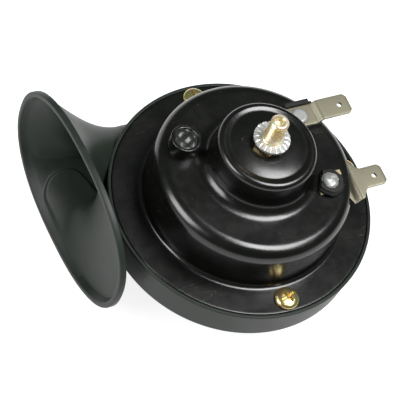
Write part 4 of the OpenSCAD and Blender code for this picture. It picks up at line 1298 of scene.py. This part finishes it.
@dataclass
class Terminals:
    """Two blade terminals with their rivets and insulating plates."""

    width: float = 6.3
    root_w: float = 11.7
    thick: float = 0.8
    edge: float = 0.12
    tip_cut: float = 1.0
    joggle: float = 1.3
    upper_line: tuple[float, float, float] = (22.2, 1.5, 33.0)
    upper_bend: float = 0.62
    side_line: tuple[float, float, float] = (25.0, 1.8, 36.0)
    side_bend: float = 0.6
    hole_r: float = 0.75
    hole_inset: float = 3.2
    rivet_x: float = 17.4
    reach_y: float = 10.5
    pot_z: float = 16.2
    top_z: float = 17.9
    side_z: float = 11.9
    low_seat: float = 18.4
    head_r: float = 2.5
    head_h: float = 0.9
    shank_r: float = 1.5
    plate_x: float = 23.5
    lip_x: float = 21.7
    lip_z: float = 19.8
    lip_t: float = 1.2
    plate_round: float = 0.22
    disc_r: tuple[float, float, float] = (4.1, 3.9, 3.4)
    sheet_t: float = 0.5
    sheet_round: float = 0.12
    sheet: tuple[tuple[float, float], ...] = (
        (13.8, -13.2), (19.6, -13.2), (20.6, -9.6), (22.4, -8.6), (22.4, -7.2), (13.8, -7.1))
    fillet_r: float = 18.05

    def strip(self, name: str, path: np.ndarray, y: float, radius: float,
              widths: Sequence[tuple[float, float]]) -> bpy.types.Object:
        """A strip bent along a path: rounded rectangles set across the path's own slope.

        Args:
            name: The piece's name.
            path: Corners (x, z) of the strip's middle line.
            y: Where its middle lies.
            radius: Bend radius.
            widths: Pairs of a place along X and the strip's width there.

        Returns:
            The strip, with its hole near the tip and a chamfered end.
        """
        line, edge = self.rounded(path, radius), self.edge
        step = np.gradient(line, axis=0)
        step /= np.linalg.norm(step, axis=1)[:, None]
        run = np.concatenate([[0], np.cumsum(np.linalg.norm(np.diff(line, axis=0), axis=1))])
        left = run[-1] - run
        places, sizes = zip(*widths)
        cut = self.tip_cut * np.clip(1 - left / self.tip_cut, 0, 1)
        half = (np.interp(line[:, 0], places, sizes) / 2 - cut)[:, None]
        thick = (self.thick / 2 * (1 - 0.45 * np.clip(1 - left / 0.5, 0, 1)))[:, None]
        f = np.radians(np.linspace(0, 360, 32, endpoint=False) + 5.6)[None, :]
        across = np.clip(1.25 * np.cos(f), -1, 1) * (half - edge) + edge * np.cos(f)
        up = np.clip(3.2 * np.sin(f), -1, 1) * (thick - edge) + edge * np.sin(f)
        x = line[:, :1] - step[:, 1:] * up
        z = line[:, 1:] + step[:, :1] * up
        piece = solid(name, closed_tube(np.stack([x, y + across, z], axis=-1)))
        tip_x, tip_z = line[-1]
        hole = rod(self.hole_r, tip_z - 2, tip_z + 2)
        combine(piece, lathe("drill", hole, (tip_x - self.hole_inset, y), 40), Join.CUT)
        return piece

    def rounded(self, path: np.ndarray, radius: float) -> np.ndarray:
        """The path with each inner corner replaced by a smooth bend.

        Args:
            path: Corners (x, z).
            radius: How far from its corner a bend starts.

        Returns:
            The points of the smooth line.
        """
        parts = [path[:1]]
        for before, corner, after in zip(path[:-2], path[1:-1], path[2:]):
            back, on = before - corner, after - corner
            start = corner + back / np.linalg.norm(back) * radius
            parts.append(bend(start, corner, corner + on / np.linalg.norm(on) * radius))
        return resample(np.concatenate([*parts, path[-1:]]), 0.4)

    def joggled(self, seat: float, bend_x: float, rise: float, tip_x: float) -> np.ndarray:
        """A blade's middle line, which lies on its seat, steps up and runs on to the tip.

        Args:
            seat: Height of its seat.
            bend_x: Where the step starts.
            rise: Height of the step.
            tip_x: Where the tip is.

        Returns:
            Corners (x, z).
        """
        back, low = self.rivet_x - self.width / 2, seat + self.thick / 2
        high = seat + rise + self.thick / 2
        return np.array([[back, low], [bend_x, low], [bend_x + self.joggle, high], [tip_x, high]])

    def blades(self) -> list[bpy.types.Object]:
        """The upper terminal with its joggle, and the side one that comes out wide through the wall.

        Returns:
            Both dressed pieces.
        """
        plain = [(0.0, self.width), (50.0, self.width)]
        flared = [(0.0, self.width), (23.5, self.width), (24.3, self.root_w), (27.2, self.root_w),
                  (28.0, self.root_w - 2.6), (29.4, self.width), (50.0, self.width)]
        line = self.joggled(self.top_z, *self.upper_line)
        upper = self.strip("upper_blade", line, self.reach_y, self.upper_bend, plain)
        dress(upper, "blade_metal", ["terminal_top"], crease=30)
        line = self.joggled(self.side_z, *self.side_line)
        side = self.strip("side_blade", line, -self.reach_y, self.side_bend, flared)
        dress(side, "blade_metal", ["terminal_side"], crease=30)
        return [upper, side]

    def rivets(self) -> bpy.types.Object:
        """Hand-set rivets: a flat one over the upper blade, and a lumpy dome that swings on its axis.

        Returns:
            Both rivets as one dressed group.
        """
        grids = []
        r, low, shank = self.head_r, self.side_z, self.shank_r
        kinds = ((1, self.top_z + self.thick, 0.02, 8), (-1, self.low_seat, 0.13, 3.2))
        for side, seat, lumps, power in kinds:
            rho = np.concatenate([np.linspace(0, 0.8, 16), np.sin(np.linspace(0.93, math.pi / 2, 9))])
            dome = self.head_h * np.clip(1 - rho ** power, 0, 1) ** 0.5
            profile = np.concatenate([
                [[0, low - self.head_h], [r - 0.5, low - self.head_h], [r, low - 0.5], [r, low],
                 [shank, low], [shank, seat], [r, seat]],
                np.stack([r * rho, seat + dome], axis=1)[::-1]])
            points = revolved(profile, 72)
            angle = np.arctan2(points[..., 1], points[..., 0])
            out = np.hypot(points[..., 0], points[..., 1]) / r
            waves = np.sin(2 * angle + side) + np.sin(5 * angle) - 1
            sag = lumps * (1 + np.sin(3 * angle + 4 * out)) * out
            high = points[..., 2] > seat
            points[..., :2] *= np.where(high, 1 + lumps * 0.25 * waves, 1)[..., None]
            points[..., 2] -= np.where(high, sag, 0)
            points += np.array([self.rivet_x, side * self.reach_y, 0])
            grids.append(grid(points, loop_rows=True))
        return dress(solid("set_rivets", grids), "rivet_metal", ["terminal_rivets"], crease=50)

    def off_fillet(self, piece: bpy.types.Object) -> None:
        """Cuts away what would stand in the fillet at the boss's foot."""
        combine(piece, lathe("foot", rod(self.fillet_r, self.pot_z - 0.1, 30), steps=200), Join.CUT)

    def upper_plate(self) -> bpy.types.Object:
        """The upper insulator: a plate with a lip beside the blade.

        Returns:
            The dressed piece.
        """
        back, side = self.rivet_x - self.width / 2, self.width / 2 + 0.1
        middle, lip_y = np.array([0, self.reach_y]), side + self.lip_t
        plate = oblong(back, self.plate_x, -side, lip_y) + middle
        lip = oblong(back, self.lip_x, side, lip_y) + middle
        piece = prism("upper_insulator", plate, self.pot_z, self.top_z)
        combine(piece, prism("lip", lip, self.pot_z + 0.5, self.lip_z), Join.ADD)
        self.off_fillet(piece)
        bevel(piece, self.plate_round, 3)
        return dress(piece, "insulator", ["insulator_top"], crease=50)

    def fibre_washer(self) -> bpy.types.Object:
        """The fibre sheet under the lower insulator.

        Returns:
            The dressed piece.
        """
        piece = prism("fibre_washer", np.array(self.sheet), self.pot_z, self.pot_z + self.sheet_t)
        self.off_fillet(piece)
        bevel(piece, self.sheet_round)
        return dress(piece, "fibre", ["fibre_sheet"])

    def lower_discs(self) -> bpy.types.Object:
        """The lower insulator: two stacked discs with rounded edges, turned as one.

        Returns:
            The dressed piece.
        """
        low, seat = self.pot_z + self.sheet_t, self.low_seat
        foot_r, middle_r, top_r = self.disc_r
        profile = np.concatenate([[[0, low], [foot_r, low]], arc(middle_r, low + 0.65, 0.3, -20, 80, 5),
                                  arc(top_r, seat - 0.25, 0.25, 10, 90, 5), [[0, seat]]])

        def lumps(points: np.ndarray) -> np.ndarray:
            """Swings the moulding's edge in and out a little round its axis.

            Args:
                points: Its points.

            Returns:
                The moved points.
            """
            angle = np.arctan2(points[..., 1], points[..., 0])
            points[..., :2] *= (1 + 0.025 * np.sin(3 * angle) + 0.02 * np.sin(7 * angle + 1))[..., None]
            return points

        piece = lathe("lower_insulator", profile, (self.rivet_x, -self.reach_y), wobble=lumps)
        self.off_fillet(piece)
        return dress(piece, "insulator", ["insulator_low"], crease=50)

    def build(self) -> list[bpy.types.Object]:
        """Blades, rivets and insulators."""
        blades, rivets = self.blades(), self.rivets()
        return [*blades, rivets, self.upper_plate(), self.fibre_washer(), self.lower_discs()]


@dataclass
class Adjuster:
    """The adjuster's bush on the pot and the wax that seals it."""

    centre: tuple[float, float] = (-18.08, 11.08)
    r: float = 4.2
    top: float = 20.8
    seat: float = 16.2
    foot: float = 14.5
    foot_r: float = 3.15
    bore_r: float = 2.05
    outer_round: float = 0.25
    inner_round: float = 0.35
    cup: float = 3.2
    cup_floor: float = 18.0
    wax_gap: float = 0.02
    wax_dip: float = 0.42
    wax_rise: float = 0.22

    def bush(self) -> bpy.types.Object:
        """The bush: a turned collar whose top waves a little.

        Returns:
            The dressed piece.
        """
        step_z, outer, inner = self.seat - 0.2, self.outer_round, self.inner_round
        profile = np.concatenate([
            [[self.bore_r, self.foot], [self.foot_r, self.foot], [self.foot_r, step_z],
             [self.r, step_z]],
            arc(self.r - outer, self.top - outer, outer, 0, 90, 5),
            arc(self.cup + inner, self.top - inner, inner, 90, 180, 5),
            [[self.cup, self.cup_floor], [self.bore_r, self.cup_floor]]])
        points = revolved(profile, 96)
        angle = np.arctan2(points[..., 1], points[..., 0])
        swing = 0.05 * np.sin(2 * angle + 1) + 0.03 * np.sin(7 * angle)
        points[..., 2] += np.where(points[..., 2] > self.top - 0.4, swing, 0)
        points += np.array([*self.centre, 0])
        piece = solid("adjuster_collar", [grid(points, loop_rows=True, loop_cols=True)])
        return dress(piece, "black_paint", ["adjuster_bush"])

    def wax(self) -> bpy.types.Object:
        """The wax: a lumpy skin whose height follows crossing waves.

        Returns:
            The dressed piece.
        """
        rho = np.linspace(0, 1, 30)
        r, face = self.cup - self.wax_gap, self.top - self.wax_dip
        skin = np.stack([r * rho, face + self.wax_rise * (1 - rho ** 2)], axis=1)
        profile = np.concatenate([[[0, self.cup_floor], [r, self.cup_floor]], skin[::-1]])

        def lumps(points: np.ndarray) -> np.ndarray:
            """Adds waves across the wax's face, which die out at its edge.

            Args:
                points: Its points.

            Returns:
                The moved points.
            """
            x, y = points[..., 0], points[..., 1]
            fade = 1 - (np.hypot(x, y) / self.cup) ** 6
            wave = 0.15 * np.sin(1.7 * x + 0.8 * y) + 0.11 * np.cos(2.3 * y - 1.1 * x)
            wave += 0.05 * np.sin(5 * x * y / 3)
            points[..., 2] += np.where(points[..., 2] > self.top - 0.9, wave * fade, 0)
            return points

        piece = lathe("sealing_wax", profile, self.centre, 120, lumps)
        return dress(piece, "wax", ["wax_seal"], crease=60)

    def build(self) -> list[bpy.types.Object]:
        """Bush and wax."""
        return [self.bush(), self.wax()]


@dataclass
class Studio:
    """The camera at the photograph's angle, the floor, and the soft light."""

    camera_at: Triple = (-238.2, -214.7, 455.6)
    right: Triple = (0.8844, -0.3927, 0.2522)
    up: Triple = (0.2246, 0.8318, 0.5074)
    lens: float = 180.0
    sensor: float = 36.0
    far: float = 10.0
    floor_z: float = -31.3
    floor_half: float = 3000.0
    paper: float = 0.4
    glow: float = 0.86
    surround: Triple = (0.9, 1.0, 0.93)
    surround_strength: float = 0.12

    def camera(self) -> None:
        """Places the camera by its position and its two picture axes."""
        data = bpy.data.cameras.new("camera")
        data.lens = self.lens
        data.sensor_width = self.sensor
        data.clip_end = self.far
        eye = bpy.data.objects.new("camera", data)
        bpy.context.scene.collection.objects.link(eye)
        right = Vector(self.right).normalized()
        back = right.cross(Vector(self.up)).normalized()
        up = back.cross(right)
        place = in_frame(np.array(self.camera_at))
        rows = [(right[i], up[i], back[i], place[i]) for i in range(3)]
        eye.matrix_world = Matrix((*rows, (0, 0, 0, 1)))
        bpy.context.scene.camera = eye

    def lamp(self, name: str, place: Triple, aim: Triple, size: tuple[float, float],
             power: float) -> None:
        """Adds a soft rectangular lamp.

        Args:
            name: Its name.
            place: Where it hangs, in metres.
            aim: The point that it faces, in metres.
            size: Its two sides, in metres.
            power: Its power in watts.
        """
        data = bpy.data.lights.new(name, "AREA")
        data.shape = "RECTANGLE"
        data.size, data.size_y = size
        data.energy = power
        obj = bpy.data.objects.new(name, data)
        bpy.context.scene.collection.objects.link(obj)
        obj.location = place
        obj.rotation_mode = "QUATERNION"
        obj.rotation_quaternion = (Vector(aim) - Vector(place)).to_track_quat("-Z", "Y")

    def floor(self) -> None:
        """A pale floor that shows white to the camera and in reflections, and keeps the shadow."""
        half = self.floor_half
        corners = np.column_stack([oblong(-half, half, -half, half), np.full(4, self.floor_z)])
        mesh = bpy.data.meshes.new("floor")
        mesh.from_pydata(in_frame(corners).tolist(), [], [(0, 1, 2, 3)])
        obj = bpy.data.objects.new("floor", mesh)
        bpy.context.scene.collection.objects.link(obj)
        made = bpy.data.materials.new("floor paper")
        made.use_nodes = True
        made.node_tree.nodes.clear()
        s = Shader(made.node_tree)
        path = s.add("LightPath")
        seen = s.maths("MAXIMUM", path.outputs["Is Camera Ray"], path.outputs["Is Glossy Ray"])
        seen = s.maths("MAXIMUM", seen, path.outputs["Is Transmission Ray"])
        light = s.maths("MULTIPLY", seen, self.glow)
        paper = s.add("BsdfDiffuse", {"Color": (self.paper, self.paper, self.paper, 1.0)})
        glow = s.add("Emission", {"Color": (1.0, 1.0, 1.0, 1.0), "Strength": light})
        both = s.add("AddShader", {0: paper.outputs[0], 1: glow.outputs[0]})
        s.add("OutputMaterial", {"Surface": both.outputs[0]})
        mesh.materials.append(made)

    def light(self) -> None:
        """A dim even surround, one large lamp overhead to the right and a weaker one to the left."""
        world = bpy.data.worlds.new("surround")
        bpy.context.scene.world = world
        world.use_nodes = True
        backdrop = world.node_tree.nodes["Background"]
        backdrop.inputs["Color"].default_value = (*self.surround, 1.0)
        backdrop.inputs["Strength"].default_value = self.surround_strength
        self.lamp("overhead", (0.29, -0.15, 0.88), (0, 0, -0.03), (0.5, 0.45), 12.0)
        self.lamp("left", (-0.8, 0.05, 0.5), (-0.03, 0, -0.03), (0.5, 0.5), 8.0)

    def build(self) -> None:
        """Sets up camera, floor and light."""
        self.camera()
        self.floor()
        self.light()


def dress_inner_nodes() -> None:
    """Gives every CAD node its slot's finish, so that those that stay in view look right too."""
    slots = {entry["node"]: entry["material_slot"] for entry in frame["record"]["subparts"]}
    for name, node in frame["nodes"].items():
        finish = Finishes.BY_SLOT[slots[name]].material()
        for place in node.material_slots:
            place.material = finish


def main() -> None:
    """Builds the scene in order: view, light, the inner pieces' finishes, then each sub-assembly."""
    logging.basicConfig(level=logging.INFO, format="%(name)s: %(message)s")
    bpy.context.scene.view_settings.view_transform = "Standard"
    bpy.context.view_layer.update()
    Studio().build()
    dress_inner_nodes()
    assemblies = (SnailHousing, Bell, SteelPot, FixingStud, FlangeScrews, Terminals, Adjuster)
    for assembly in assemblies:
        for piece in assembly().build():
            LOG.info("%s: %d faces", piece.name, len(piece.data.polygons))


if __name__ == "__main__":
    main()
